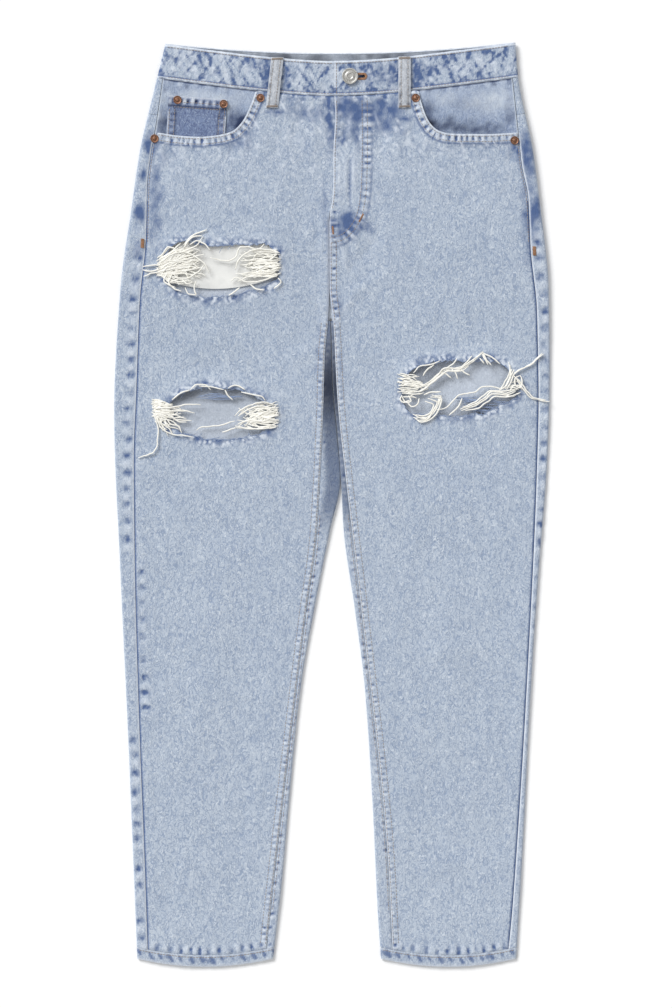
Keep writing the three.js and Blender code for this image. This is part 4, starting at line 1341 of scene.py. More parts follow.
class JEANS_OT_fronts(bpy.types.Operator):
    """Cut and lay the two fronts, with their rips, stitching and bartacks"""

    bl_idname = "jeans.fronts"
    bl_label = "Fronts"

    def execute(self, context):
        spacing, wobble = sizes().front_spacing / MM, sizes().fray_wobble / MM
        for side, flat_size in (("right", (0.205, 0.935)), ("left", (0.215, 0.935))):
            holes = [rip_edges(rip, wobble) for rip in RIPS[side]]
            worked = [smooth_path(FLY_STITCH, 8)] if side == "left" else []
            flat, faces = cut_cloth(front_outline(side), holes, spacing, worked)
            z, indigo, pale = front_surface(side, *flat.T)
            cloth = shell(f"denim_front_{side}", np.column_stack([flat, z]), faces, CLOTH,
                          "washed_twill", indigo, pale)
            declare(f"front_{side}", cloth, flat_size, [
                (f"stitching_front_{side}", front_stitching(side)),
                (f"bartacks_front_{side}", front_bartacks(side), "bartack_cotton"),
                (f"rip_fringe_{side}", rip_fringe(side), "frayed_warp_cotton",
                 "frayed_threads"),
            ])
        return {"FINISHED"}


# ---- Backs, yokes and hems ----

# Stations round a leg: 0-1 strip on top beside the outseam, 1-2 outer fold, 2-3 under
# the leg, 3-4 inner fold, 4-5 strip on top beside the inseam.


def back_section(side, y, u):
    """X, Z and share of the top at a station of the back, at height y."""
    way = WAY[side]
    outer, low = OUTER[side](y), underside(y)
    radius = (top_of(outer, y) - low) / 2
    start, seam_x = outer + way * radius, seam_of(side, y) - way * SEAM_GAP
    inner_radius = crotch_height(y) / 2
    inner = np.where(y <= CROTCH_Y + 0.01, INNER[side](y) - way * inner_radius,
                     BACK_MIDDLE(y) - way * SEAM_GAP / 2)
    inseam = MIDDLE[side](y) + way * SEAM_GAP
    turn, inner_turn = np.pi * np.clip(u - 1, 0, 1), np.pi * np.clip(u - 3, 0, 1)
    t = np.clip(u - 4, 0, 1)
    strip_x, far_x = mix(seam_x, start, u), mix(inner, inseam, t)
    cases = [u < 1, u <= 2, u <= 3, u <= 4]
    x = np.select(cases, [
        strip_x, start - way * radius * np.sin(turn), mix(start, inner, u - 2),
        inner + way * inner_radius * np.sin(inner_turn),
    ], far_x)
    z = np.select(cases, [
        top_of(strip_x, y), low + radius + radius * np.cos(turn), low + 0 * u,
        low + inner_radius - inner_radius * np.cos(inner_turn),
    ], mix(low + crotch_height(y), top_of(far_x, y), t))
    return x, z, top_share(u, cases)


def top_share(u, cases):
    """How far a station's cloth is on top: 1 on top, 0 underneath, between on a fold."""
    return np.select(cases, [1 + 0 * u, 1 - ramp(u, 1, 2), 0 * u, ramp(u, 3, 4)], 1.0)


def back_seams(side):
    """Worked edges on the parts of a back that lie on top."""
    way, outseam = WAY[side], climb(partial(seam_of, side), 14, 880)
    return [
        seam(outseam, 121 + way, 17.5, 7.0, 4.9, 1.05, 0.6, reach=11,
             ridge=0.1 * (span[1] > 700), groove=0.3, span=span)
        for span in (((0, 250), (440, 790)) if side == "right" else ((345, 790),))
    ] + [
        seam(outseam, 126, line=1.1, groove=0.2, reach=3),
        seam(climb(MIDDLE[side], 12, CROTCH_Y), 131 + way, 7.5, 2.6, 2.6, 0.9, 0.55, reach=6,
             groove=0.7),
    ]


def under_seams():
    """Worked edges on the underside: yoke, back rise and waist."""
    return [
        seam(sampled(yoke_seam, -200, 190), 141, 14, 5, 3.5, 0.8, 0.2, reach=10, groove=0.5,
             line=0.7),
        seam(climb(BACK_MIDDLE, 690, 930), 151, 13, 4.5, 3.2, 0.75, 0.2, groove=0.5, line=0.7),
        seam(sampled(back_seam, -195, 190), 161, 15, 5, 4, 0.8, reach=10, groove=0.4,
             line=0.4),
    ]


def finish_wrap(side, x, y, z, share):
    """Work the top and the underside of a piece that wraps round a leg."""
    lift, indigo, pale = work_all(back_seams(side), x, y)
    _, under_indigo, under_pale = work_all(under_seams(), x, y)
    streak_indigo, streak_pale = crease_marks(x, y)
    indigo = np.maximum(indigo, np.maximum(washed(x, y), streak_indigo))
    # In the recess between the legs: indigo, partly from less-washed cloth and partly painted shade,
    # and painted shade that is darkest about Y 616.
    right, left = INNER["right"](y), INNER["left"](y)
    recess = ramp(x, right - 22, right - 10) * (1 - ramp(x, left + 10, left + 22))
    recess = recess * ramp(y, 440, 500) * share * (1 - ramp(y, CROTCH_Y - 2, CROTCH_Y + 8))
    indigo = np.maximum(indigo, 0.55 * recess)
    deep = np.clip((0.34 + 0.62 * np.exp(-(((y - 616) / 42) ** 2))) * recess, 0, 1)
    fold = 0.25 * np.clip(1 - abs(share - 0.5) * 2.2, 0, 1)
    pale = np.maximum(pale, np.maximum(streak_pale, fold))
    rise = rumple(x, y)
    z = z + share * (lift + rise) + (1 - share) * 0.35 * np.clip(rise, 0, 1)
    indigo = np.clip(mix(under_indigo, indigo, share), 0, 1)
    return np.maximum(z, 0), indigo, np.clip(mix(under_pale, pale, share), 0, 1), deep


def wrap_grid(side, stations, rows, height_of):
    """Points round a leg, their indigo, pale and painted shade; height_of(row share, x, top share)
    gives Y."""
    v, u = grid(rows, stations)
    y = np.full(u.shape, 600.0)
    for _ in range(7):
        x, z, share = back_section(side, y, u)
        y = height_of(v, x, share)
    x, z, share = back_section(side, y, u)
    z, *marks = finish_wrap(side, x, y, z, share)
    return x, y, z, *marks


def back_stations(step):
    """Stations round a leg at about an even step."""
    return stations_of((28 / 2.6, 8, 190 / (1.6 * step), 8, 30 / 2.6), [5.0])


def lay_back(side, step):
    below, above = int(672 / step), int(180 / step)
    stations = back_stations(step)
    rows = np.concatenate([np.linspace(0, 1, below + 1), 1 + np.linspace(0, 1, above + 1)[1:]])

    def height_of(v, x, share):
        low = hem_edge(side, np.clip(x, *sorted((OUTER[side](20), INNER[side](20)))))
        low = low + HEM_DEPTH + SEAM_GAP
        high = yoke_seam(x) - SEAM_GAP
        return np.where(v <= 1, mix(low, CROTCH_Y, v), mix(CROTCH_Y, high, v - 1))

    x, y, z, *marks = wrap_grid(side, stations, rows, height_of)
    # Above the crotch the back ends at the back rise, the third fold's start.
    rise_at = np.searchsorted(stations, 3.0)
    faces = grid_faces(len(rows) - 1, len(stations) - 1,
                       lambda i, j: (i < below) | (j < rise_at))
    used, faces = compact(faces, x.size)
    # The last mark, inner, is painted shade on the wrong side where it shows through the rips.
    indigo, pale, deep, inner = (
        mark.ravel()[used] for mark in (*marks, blots(x, y, RIP_PAINTED_SHADE))
    )
    cloth = shell(f"denim_back_{side}", stacked(x, y, z)[used], faces, CLOTH,
                  "washed_twill", indigo, pale, side == "right", deep, inner)
    declare(f"back_{side}", cloth, (0.265, 0.88),
            [(f"stitching_back_{side}", back_stitching(side))])


def back_stitching(side):
    rows = []
    if side == "right":
        rows += double_row(climb(BACK_MIDDLE, 690, 862, 6), under_z, 1.8, down=True)
    inseam = climb(lambda y: MIDDLE[side](y) + WAY[side] * 2.2, 60, 480, 6)
    return rows + [stitch_row(evenly(inseam, 3, False), over_top(-0.2))]


def lay_yoke(side, step):
    stations = back_stations(step)
    stations = stations[stations <= 3.0001]
    rows = np.linspace(0, 1, int(62 / step) + 1)

    def height_of(v, x, share):
        high = mix(back_seam(x), front_seam(x), share) - SEAM_GAP
        return mix(yoke_seam(x), high, v)

    x, y, z, indigo, pale, deep = wrap_grid(side, stations, rows, height_of)
    faces = grid_faces(len(rows) - 1, len(stations) - 1)
    cloth = shell(f"denim_yoke_{side}", stacked(x, y, z), faces, CLOTH, "washed_twill",
                  indigo, pale, side == "right", deep)
    line = sampled(yoke_seam, *((-196, -8) if side == "right" else (-3, 188)), 6)
    declare(f"yoke_{side}", cloth, (0.235, 0.095),
            [(f"stitching_yoke_{side}", double_row(line, under_z, 1.8, down=True))])


class JEANS_OT_backs(bpy.types.Operator):
    """Lay the backs and yokes round the folds of the legs, with their stitching"""

    bl_idname = "jeans.backs"
    bl_label = "Backs and yokes"

    def execute(self, context):
        step = sizes().back_spacing / MM
        for side in SIDES:
            lay_back(side, step)
            lay_yoke(side, step)
        return {"FINISHED"}


def turn_up(side, step):
    radius = HEM_HEIGHT / 2
    stations = stations_of([int(142 / step), 8] * 2)
    v, u = grid(int(HEM_DEPTH / step), stations)
    level = HEM_DIP + v * HEM_DEPTH
    outer, inner = OUTER[side](level), INNER[side](level)
    first, last = np.minimum(outer, inner) + radius, np.maximum(outer, inner) - radius
    turn = np.pi * np.clip(np.mod(u, 2) - 1, 0, 1)
    upper = u < 2
    sign = np.where(upper, 1, -1)
    base = np.where(upper, mix(first, last, np.clip(u, 0, 1)),
                    mix(last, first, np.clip(u - 2, 0, 1)))
    x = base + sign * radius * np.sin(turn)
    z = radius + sign * radius * np.cos(turn)
    y = hem_edge(side, base) + v * HEM_DEPTH
    share = ramp(z, 0.5, HEM_HEIGHT - 0.5)
    marks = soft_noise((x + y * 0.6) * 1.5, y, 8, 171)
    comb = np.clip(np.cos(2 * np.pi * (x + 0.5 * v * HEM_DEPTH) / 11), 0, 1)
    rounded = 0.8 * np.clip(1 - v / 0.12, 0, 1) ** 2
    lift = 0.3 * marks - 0.3 * comb - rounded - 0.35 * bump(v, 0.83, 0.06)
    z = z + share * (lift + rumple(x, y)) + (1 - share) * rounded * (z < 0.3)
    dark = ramp(0.62 * bump(v, 0.6, 0.4) * (0.6 + comb) + 0.4 * marks, 0.32, 0.75)
    pale = np.clip(0.8 * bump(v, 0, 0.14) + 0.5 * bump(v, 1, 0.12), 0, 1)
    faces = grid_faces(v.shape[0] - 1, len(stations), closed=True)
    cloth = shell(f"denim_hem_{side}", stacked(x, y, np.maximum(z, 0)), faces, HEM_WALL,
                  "washed_twill", 0.75 * dark, pale)
    ends = sorted((float(OUTER[side](18)), float(INNER[side](18))))
    row = sampled(lambda at: hem_edge(side, at) + HEM_DEPTH - 2.2, ends[0] + 2, ends[1] - 2, 5)
    rows = [stitch_row(row, lambda x, y: HEM_HEIGHT + rumple(x, y) - 0.1),
            stitch_row(row, lambda x, y: 0 * x + 0.2, down=True)]
    declare(f"hem_{side}", cloth, (0.315, 0.0215), [(f"stitching_hem_{side}", rows)])


class JEANS_OT_hems(bpy.types.Operator):
    """Turn up the two hems"""

    bl_idname = "jeans.hems"
    bl_label = "Hems"

    def execute(self, context):
        for side in SIDES:
            turn_up(side, sizes().band_spacing / MM)
        return {"FINISHED"}


# ---- Waistband, loops, fly and pockets ----

BUTTON_END = 24.0
BUTTONHOLE_END = -6.6
SLOT = (7.6, 26.6, 941.4, 946.6)


def band_stitching():
    rows = []
    for ends in ((-183, -8), (-5, 178)):
        for curve, offset in ((front_seam, 2.4), (front_top, -2.6)):
            row = sampled(lambda x: curve(x) + offset, *ends, 5)
            rows.append(stitch_row(row, band_front_z))
    rows.append(stitch_row(climb(lambda y: -3.8 + 0 * y, 926, 958, 4), band_front_z))
    for curve, offset in ((back_seam, 2.4), (back_top, -2.6)):
        row = sampled(lambda x: curve(x) + offset, -183, 178, 5)
        rows.append(stitch_row(row, lambda x, y: HIP_LIFT + 0.1 + 0 * x, down=True))
    return rows


def buttonhole():
    left, right, low, high = SLOT
    outline = [(left, low), (right, low), (right + 1.5, (low + high) / 2), (right, high),
               (left, high)]
    return [satin(outline, band_front_z, 2.6, 0.8, 0.42)]


def lay_waistband(step):
    radius = (BAND_HEIGHT - HIP_LIFT) / 2
    stations = stations_of((200 / step, 10, 372 / (1.6 * step), 10, 190 / step), [5.0])
    v, u = grid(int(37 / step), stations)
    level = mix(943, 980, v)
    right, left = OUTER["right"](level) + radius, OUTER["left"](level) - radius
    turn = np.pi * np.clip(np.where(u < 2.5, u - 1, u - 3), 0, 1)
    cases = [u <= 1, u <= 2, u <= 3, u <= 4]
    x = np.select(cases, [
        mix(BUTTON_END, right, u), right - radius * np.sin(turn), mix(right, left, u - 2),
        left + radius * np.sin(turn)], mix(left, BUTTONHOLE_END, u - 4))
    z = np.select(cases, [
        band_height(x, "right"), HIP_LIFT + radius * (1 + np.cos(turn)), HIP_LIFT + 0 * u,
        HIP_LIFT + radius * (1 - np.cos(turn))], band_height(x, "left"))
    share = top_share(u, cases)
    low, high = mix(back_seam(x), front_seam(x), share), mix(back_top(x), front_top(x), share)
    y = mix(low, high, v)
    lift, indigo, pale = band_marks(x, y, low, high)
    z = z + share * (lift + rumple(x, y)) - (1 - share) * (lift - 0.2)
    centre_x, centre_y = ((at[:-1, :-1] + at[1:, 1:]) / 2 for at in (x, y))
    in_slot = (centre_x > SLOT[0]) & (centre_x < SLOT[1]) & (u[:-1, :-1] >= 4)
    in_slot &= (centre_y > SLOT[2]) & (centre_y < SLOT[3])
    faces = grid_faces(v.shape[0] - 1, len(stations) - 1, lambda i, j: ~in_slot[i, j])
    # Painted shade over the inside of the band, uneven, and lighter along its top edge.
    inner = (0.62 + 0.3 * soft_noise(x, y, 7, 105)) * (1 - 0.75 * bump(v, 1.0, 0.035))
    cloth = shell("denim_waistband", stacked(x, y, np.maximum(z, 0.05)), faces, BAND_WALL,
                  "washed_twill", np.clip(indigo, 0, 1), pale, True,
                  inner_deep=np.clip(inner, 0, 1))
    declare("waistband", cloth, (0.80, 0.042), [
        ("stitching_waistband", band_stitching()),
        ("buttonhole", buttonhole(), "bartack_cotton"),
    ])


class JEANS_OT_waistband(bpy.types.Operator):
    """Lay the waistband round the waist, its buttonhole end over its button end"""

    bl_idname = "jeans.waistband"
    bl_label = "Waistband"

    def execute(self, context):
        lay_waistband(sizes().band_spacing / MM)
        return {"FINISHED"}


def sew_on(node, place):
    front = place[2]
    middle, foot, top = loop_edges(*place)
    lifted = ground
    if front:
        lifted = lambda x, y: loop_z(place, x, y) + rumple(x, y)
    rows, columns = 36, 12
    v, u = grid(rows, columns)
    y = mix(foot, top, v)
    x = mix(middle(y) - LOOP_WIDTH / 2, middle(y) + LOOP_WIDTH / 2, u)
    across = abs(2 * u - 1)
    uneven = soft_noise(x * 1.2, y, 5.5, 181 + int(place[0]))
    indigo = ramp(0.55 * across + 0.55 * uneven + 0.4 * (v < 0.1), 0.45, 0.95)
    pale = np.clip(bump(across, 0.95, 0.12) + 0.5 * bump(across, 0.1, 0.25), 0, 1)
    cloth = shell(f"denim_{node}", stacked(x, y, lifted(x, y)), grid_faces(rows, columns),
                  LOOP_WALL, "worn_loop_twill", 0.8 * indigo, 0.8 * pale, not front)
    stitching = [
        stitch_row(climb(lambda at: middle(at) + offset, foot + 2, top - 2, 4), lifted,
                   down=not front)
        for offset in (-3.6, 3.6)
    ]
    tacks = [
        bartack(float(middle(at)), at, 11, 2, lifted, down=not front)
        for at in (foot + 1.6, top - 1.8)
    ]
    declare(node, cloth, (0.014, (top - foot) * MM + 0.004),
            [(f"stitching_{node}", stitching), (f"bartacks_{node}", tacks)])


class JEANS_OT_belt_loops(bpy.types.Operator):
    """Sew on the five belt loops"""

    bl_idname = "jeans.belt_loops"
    bl_label = "Belt loops"

    def execute(self, context):
        for node, place in LOOPS.items():
            sew_on(node, place)
        return {"FINISHED"}


class JEANS_OT_fly(bpy.types.Operator):
    """Lay the zip tape and the shield behind the fly"""

    bl_idname = "jeans.fly"
    bl_label = "Fly"

    def execute(self, context):
        for part, (left, right), low, ply, finish, slot in (
            ("zip", (-10, 14), FLY_FOOT_Y, 1, "woven_zip_tape", "zip_tape"),
            ("shield", (-9, 30), 796.0, 2, "less_washed_twill", "dark_denim"),
        ):
            edges = (lambda y: left + 0 * y, lambda y: right + 0 * y,
                     lambda x: low + 0 * x, lambda x: front_seam(x) - SEAM_GAP)
            cloth = flat_cloth(f"inner_{part}", edges,
                               lambda x, y: top_of(x, y) - ply * PLY - 0.2, CLOTH, 3.0, finish)
            declare(f"fly_{part}", cloth, ((right - left) * MM + 0.001, 0.130),
                    slot=slot)
        return {"FINISHED"}


def pocket_edges(side, inner, low):
    outside = lambda y: seam_of(side, y) + WAY[side] * SEAM_GAP
    sides = [outside, lambda y: inner + 0 * y]
    return *sides[::WAY[side]], low, lambda x: front_seam(x) - SEAM_GAP


COIN_EDGES = (
    lambda y: -181.8 + (y - 919) * 0.06,
    lambda y: -119.8 + (y - 919) * 0.06,
    lambda x: 846.0 + 0 * x,
    lambda x: 921.5 - (x + 150) * 0.07,
)


def lay_facing(side):
    seams = [
        seam(sampled(front_seam, -190, 185), 191, 15, 3, 4.5, 0.6, 0.5, reach=10,
             groove=0.7, groove_indigo_and_shade=1.3),
        seam(climb(partial(seam_of, side), 880, 945), 193, 13, 5, 3, 0.5, reach=3,
             ridge=0.5, line=0.9),
    ]
    edges = pocket_edges(side, -72.0 if side == "right" else 66.0, lambda x: 812 + 0 * x)

    def height(x, y):
        from_seam = WAY[side] * (x - seam_of(side, y))
        return top_of(x, y) - mix(0.35, facing_depth(y), ramp(from_seam, 3, 16))

    cloth = flat_cloth(f"denim_facing_{side}", edges, height, CLOTH, 1.9,
                       "half_washed_twill", seams, clouds=FACING_INDIGO_AND_SHADE,
                       shade_blots=FACING_PAINTED_SHADE, pales=FACING_PALES)
    declare(f"pocket_facing_{side}", cloth, (0.135, 0.135),
            slot="dark_denim")


def lay_bag(side):
    middle, inner = (-132.0, -66.0) if side == "right" else (126.0, 57.0)
    edges = pocket_edges(side, inner, lambda x: 719 + 15 * (abs(x - middle) / 70) ** 2)

    def height(x, y):
        depth = mix(PLY, 3 * PLY, ramp(y, 764, 796))
        wrinkle = 0.35 * soft_noise(x, y * 0.6, 13, 201) + 0.2 * soft_noise(x, y, 5, 202)
        return top_of(x, y) - depth - 0.2 + wrinkle * (y < 780)

    cloth = flat_cloth(f"cotton_bag_{side}", edges, height, CLOTH, 2.6, "pocketing_cotton")
    declare(f"pocket_bag_{side}", cloth, (0.155, 0.225),
            slot="pocket_cotton")


def sew_coin_pocket():
    left, right, _, high = COIN_EDGES
    top = sampled(high, left(920), right(920), 6)
    seams = [
        seam(top, 211, 7.2, 5.0, 2.8, 1.0, 1.5, reach=11, ridge=0.6, line=1.0, trail=0.9)
    ] + [
        seam(climb(edge, 850, end), seed, 8, 5, 3.6, 0.6, 0.2, ridge=0.4, groove=0.3,
             line=0.9, trail=0.6)
        for edge, end, seed in ((left, 906, 221), (right, 900, 231))
    ]
    cloth = flat_cloth("denim_coin_pocket", COIN_EDGES, coin_z, CLOTH, 1.4,
                       "less_washed_twill", seams)
    surface = lambda x, y: coin_z(x, y) + work_all(seams, x, y)[0] + rumple(x, y)
    rows = double_row(top[1:-1], surface, -6.0)
    for edge, first in ((left, -1.8), (right, 1.8)):
        rows += double_row(climb(edge, 872, 910, 5), surface, first)
    declare("coin_pocket", cloth, (0.064, 0.082),
            [("stitching_coin_pocket", rows, "topstitch_cotton", "dark_denim")],
            "dark_denim")


def sew_back_pocket(side):
    middle = WAIST_MIDDLE - WAY[side] * 98
    half = lambda y: mix(62, 72, ramp(y, 735, 860))
    edges = left, right, low, high = (
        lambda y: middle - half(y),
        lambda y: middle + half(y),
        lambda x: 722 + 16 * abs(x - middle) / 62,
        lambda x: 862 + 6 * abs(x - WAIST_MIDDLE) / HALF_WAIST,
    )
    outline = [
        climb(left, 740, 862, 6), climb(right, 740, 862, 6),
        sampled(low, middle - 60, middle + 60, 6), sampled(high, middle - 70, middle + 70, 6),
    ]
    seams = [
        seam(path, 241 + k, 12, 4.5, 3, 0.7, 0.3, reach=8, groove=0.3, line=0.8)
        for k, path in enumerate(outline)
    ]
    cloth = flat_cloth(f"denim_back_pocket_{side}", edges, ground, LOOP_WALL, 2.6,
                       "washed_twill", seams, True)
    rows = []
    for path, first in zip(outline, (-2.2, 2.2, 2.2, -8)):
        rows += double_row(path, ground, first, True)
    declare(f"back_pocket_{side}", cloth, (0.146, 0.150),
            [(f"stitching_back_pocket_{side}", rows)])


class JEANS_OT_pockets(bpy.types.Operator):
    """Lay the pocket facings and bags, the coin pocket and the back pockets"""

    bl_idname = "jeans.pockets"
    bl_label = "Pockets"

    def execute(self, context):
        for side in SIDES:
            lay_facing(side)
            lay_bag(side)
            sew_back_pocket(side)
        sew_coin_pocket()
        return {"FINISHED"}


# ---- Frayed threads across the rips ----

# Each bundle: the rip's side, then single yarns as paths, then sheaves of yarns as
# (root from, root to, tip from, tip to, how many, how far they stray).
BUNDLES = {
    "fray_thigh_outer": ("right", [[(-165.4, 764.3), (-159, 772.7), (-150.5, 778), (-141, 781.2)],
      [(-166, 762), (-160, 770), (-152, 774.5), (-146, 775)], [(-159, 765.3), (-151.6, 769.6),
      (-143.1, 766.4), (-136.7, 759)], [(-182.3, 735.6), (-186.6, 727.2), (-180.2, 721.9),
      (-174, 720)], [(-178, 734), (-181, 726), (-176, 719), (-168, 716)], [(-152.6, 727.2),
      (-154.8, 717.6), (-152.6, 712.3), (-160, 713.4), (-164, 720)], [(-190, 744), (-200, 743.5),
      (-208.8, 742)], [(-190, 740), (-200, 737), (-208.8, 738.8)], [(-188, 737), (-199, 735.5),
      (-207.8, 731.4)], [(-190, 747), (-178, 755), (-166, 758), (-152, 752), (-143, 744),
      (-139, 735)], [(-190, 739), (-176, 731), (-163, 730), (-150, 737), (-144, 745)]],
      [((-193, 750), (-193, 732), (-148, 766), (-141, 734), 40, 5.0), ((-192, 752), (-192, 736),
      (-166, 769), (-150, 764), 20, 4.0), ((-192, 743), (-192, 733), (-172, 724), (-152, 722), 9,
      5.0), ((-190, 748), (-190, 735), (-160, 756), (-156, 738), 16, 7.0)]),
    "fray_thigh_inner": ("right", [[(-80.6, 766.4), (-86.9, 760), (-97.5, 763.2), (-106, 763.2),
      (-110.2, 753.7), (-118.7, 748.4), (-137.8, 751.5)], [(-65.7, 730.3), (-62.5, 726.1),
      (-70, 718.7)], [(-106, 719.7), (-114.5, 713.4), (-118, 712)], [(-95.4, 722.9), (-86.9, 717.6),
      (-80, 717)], [(-66, 757), (-84, 761), (-98, 757), (-108, 748), (-111, 739)], [(-66, 733),
      (-84, 727), (-98, 726), (-110, 731), (-116, 727)]], [((-64, 760), (-64, 731), (-104, 759),
      (-110, 728), 34, 3.0), ((-64, 750), (-64, 736), (-96, 744), (-104, 735), 8, 3.4)]),
    "fray_knee_outer": ("right", [[(-196.1, 581.9), (-192.4, 569.2), (-194, 553.3), (-198.2, 544.8),
      (-204.6, 542.7), (-214.1, 539.5)], [(-178.1, 601), (-169.6, 607.4), (-159, 611.6)],
      [(-159, 611.6), (-152, 617), (-144, 617.5), (-136.7, 611.6)], [(-149.5, 615.9), (-136, 614.5),
      (-123, 611.6)], [(-121.9, 611.6), (-118.7, 605.3), (-113.4, 601)], [(-118.7, 613.7),
      (-111.3, 616.9), (-100.7, 611.6)], [(-104.9, 609.5), (-92, 607), (-82.7, 604.2),
      (-79.5, 600)], [(-196, 592), (-172, 594), (-158, 597), (-147.3, 595.7)], [(-196, 588),
      (-176, 590), (-163, 589.5), (-153.7, 587.2)], [(-194, 584), (-190, 572), (-181, 566),
      (-168, 563.5), (-155.8, 561.8)]], [((-199, 602), (-198, 584), (-178, 596), (-176, 582), 30,
      3.5), ((-198, 589), (-197, 583), (-196, 571), (-173.8, 563), 10, 4.0), ((-198, 596),
      (-198, 586), (-160, 592), (-159, 574), 10, 4.0), ((-198, 590), (-197, 584), (-184, 565),
      (-156, 562), 7, 5.0)]),
    "fray_knee_inner": ("right", [[(-70, 595.7), (-82.7, 598.9), (-95.4, 595.7), (-106, 589.4),
      (-111.3, 584.1)], [(-68, 592), (-84, 595), (-97, 591), (-108, 584)], [(-74.2, 571.3),
      (-90.1, 570.3), (-111.3, 573.5)], [(-111.3, 578.8), (-132.5, 573.5), (-148.4, 572.4),
      (-152.6, 569.2)], [(-110.2, 572.4), (-118, 569), (-125.1, 567.1)]], [((-66, 599), (-66, 571),
      (-104, 592), (-110, 573), 30, 4.2), ((-66, 594), (-66, 578), (-94, 588), (-98, 578), 12,
      4.2)]),
    "fray_left_inner": ("left", [[(77.4, 629.6), (84.8, 637.1), (98.6, 639.2), (106, 642.4)],
      [(88, 626.5), (92, 633), (99.6, 638.1)], [(65.7, 606.3), (63.5, 602), (67.8, 598.9),
      (74, 601)], [(89, 606.3), (97.5, 609.5), (107.1, 609.5)], [(99.6, 605.3), (107.1, 605.3),
      (104, 596), (97, 588), (90.1, 581), (77.4, 586.2)], [(96, 604), (105, 603), (101.8, 590.4),
      (92, 583), (80, 582)], [(93, 603), (103, 599), (99, 590), (90.1, 579.8), (82, 580)],
      [(97, 606), (108, 602), (105, 592), (96, 581), (86, 578), (78, 583)], [(90, 600), (99, 596),
      (95, 587), (88, 584), (80, 586)], [(66, 604), (70, 598), (76, 600), (73, 606)], [(70, 600),
      (76, 594), (82, 597), (84, 603)]], [((62, 631), (62, 603), (90, 626), (94, 604), 16, 2.6),
      ((62, 624), (62, 610), (82, 620), (84, 606), 8, 3.0)]),
    "fray_left_middle": ("left", [[(66, 612), (80, 614), (93.3, 618), (102.8, 626.5),
      (112.4, 634.9), (125.1, 633.9), (133.6, 638.1), (142, 644.5), (151.6, 651.9)], [(70, 616),
      (82, 615), (94.5, 620), (104, 628), (113.5, 633.4), (126, 635.6), (134.5, 639.6),
      (143.4, 645.5), (151.6, 651.9)], [(84, 611), (95, 617), (105.5, 625), (114, 631.6),
      (124, 632), (133, 636.4), (141, 642), (150.5, 650.5)], [(151.6, 651.9), (155, 645),
      (160, 637.1)], [(150.6, 650.9), (154, 644), (157, 638)], [(152, 651), (161, 646),
      (169.6, 639.2)], [(72, 609), (84, 610), (96, 618.5), (106, 627), (116, 632), (127, 631.5),
      (136, 637)], [(106, 630), (112, 629), (118, 624)], [(118, 634), (123, 628), (124, 623)],
      [(112, 634), (120, 640), (124, 645)], [(128, 636), (136, 643), (140, 648)], [(148.4, 645.5),
      (151, 642), (152.6, 639.2)], [(127.2, 633.9), (132, 630), (137.8, 627.5)], [(102.8, 590.4),
      (112.4, 592.5), (120, 600), (127.2, 606.3), (143.1, 609.5), (151.6, 614.8), (160, 615.5),
      (169.6, 613.7), (174.9, 620.1), (180.2, 632.8), (179.1, 641.3)], [(115.5, 585.1),
      (125.1, 593.6), (129.3, 603.1)]], []),
    "fray_left_outer": ("left", [[(127.2, 591.5), (143.1, 596.8), (152.6, 603.1), (161.1, 609.5),
      (174.9, 608.4), (185.5, 611.6)], [(128.5, 590), (144, 595.2), (153.5, 601.2), (162, 607.6),
      (175, 606.8), (186, 610)], [(130, 593), (142, 598.4), (151, 604.6), (160, 611), (173, 610),
      (186, 613)], [(174.9, 612.7), (180.2, 624.3), (184.4, 632.8)], [(173.5, 612), (179, 623),
      (182, 634)], [(176.5, 611.5), (182, 622), (186, 631)], [(168, 611), (176, 616), (181, 627),
      (180, 638)], [(184, 629), (192, 634), (202, 639.5), (209.5, 646), (214, 650.5)], [(185, 626),
      (192, 619), (199, 609), (207, 603), (218, 601)], [(133, 589), (146, 592.5), (156, 599),
      (165, 605), (176, 604), (187, 607)], [(183.4, 627.5), (190.8, 632.8), (201.4, 638.1),
      (208.8, 644.5), (215.8, 649.8)], [(183.4, 627.5), (190.8, 618), (198.2, 607.4),
      (205.6, 602.1), (217.3, 600), (222.6, 598.9)], [(190.8, 627), (185.5, 624), (185.5, 617),
      (190.8, 613.7), (193, 620), (190.8, 627)]], [((192, 622), (192, 608), (176, 618), (168, 606),
      7, 2.5)]),
}
# Warp yarns left across a rip, still blue: (side, from, to).
WARPS = {
    "right": [((-140, 607), (-104, 605)), ((-150, 604), (-112, 603))],
    "left": [((128, 600), (179, 597)), ((132, 596), (181, 592)), ((122, 603), (166, 601)),
        ((138, 591), (178, 588))],
}


def yarn_path(flat, surface, draw, lift):
    """A yarn's path over the cloth, wavering as freed yarn does."""
    even = smooth_path(flat, 1.6)
    along = np.arange(len(even)) * 1.6
    seed = int(draw.integers(1, 9999))
    waver = 0.55 * soft_noise(along, 0, 6.5, seed) + 0.3 * soft_noise(along, 9, 3.1, seed + 1)
    even = even + waver[:, None] * sideways(even)
    rise = lift + 0.8 * (1 + soft_noise(along, 5, 11, seed + 2))
    return np.column_stack([even, surface(*even.T) + rise])


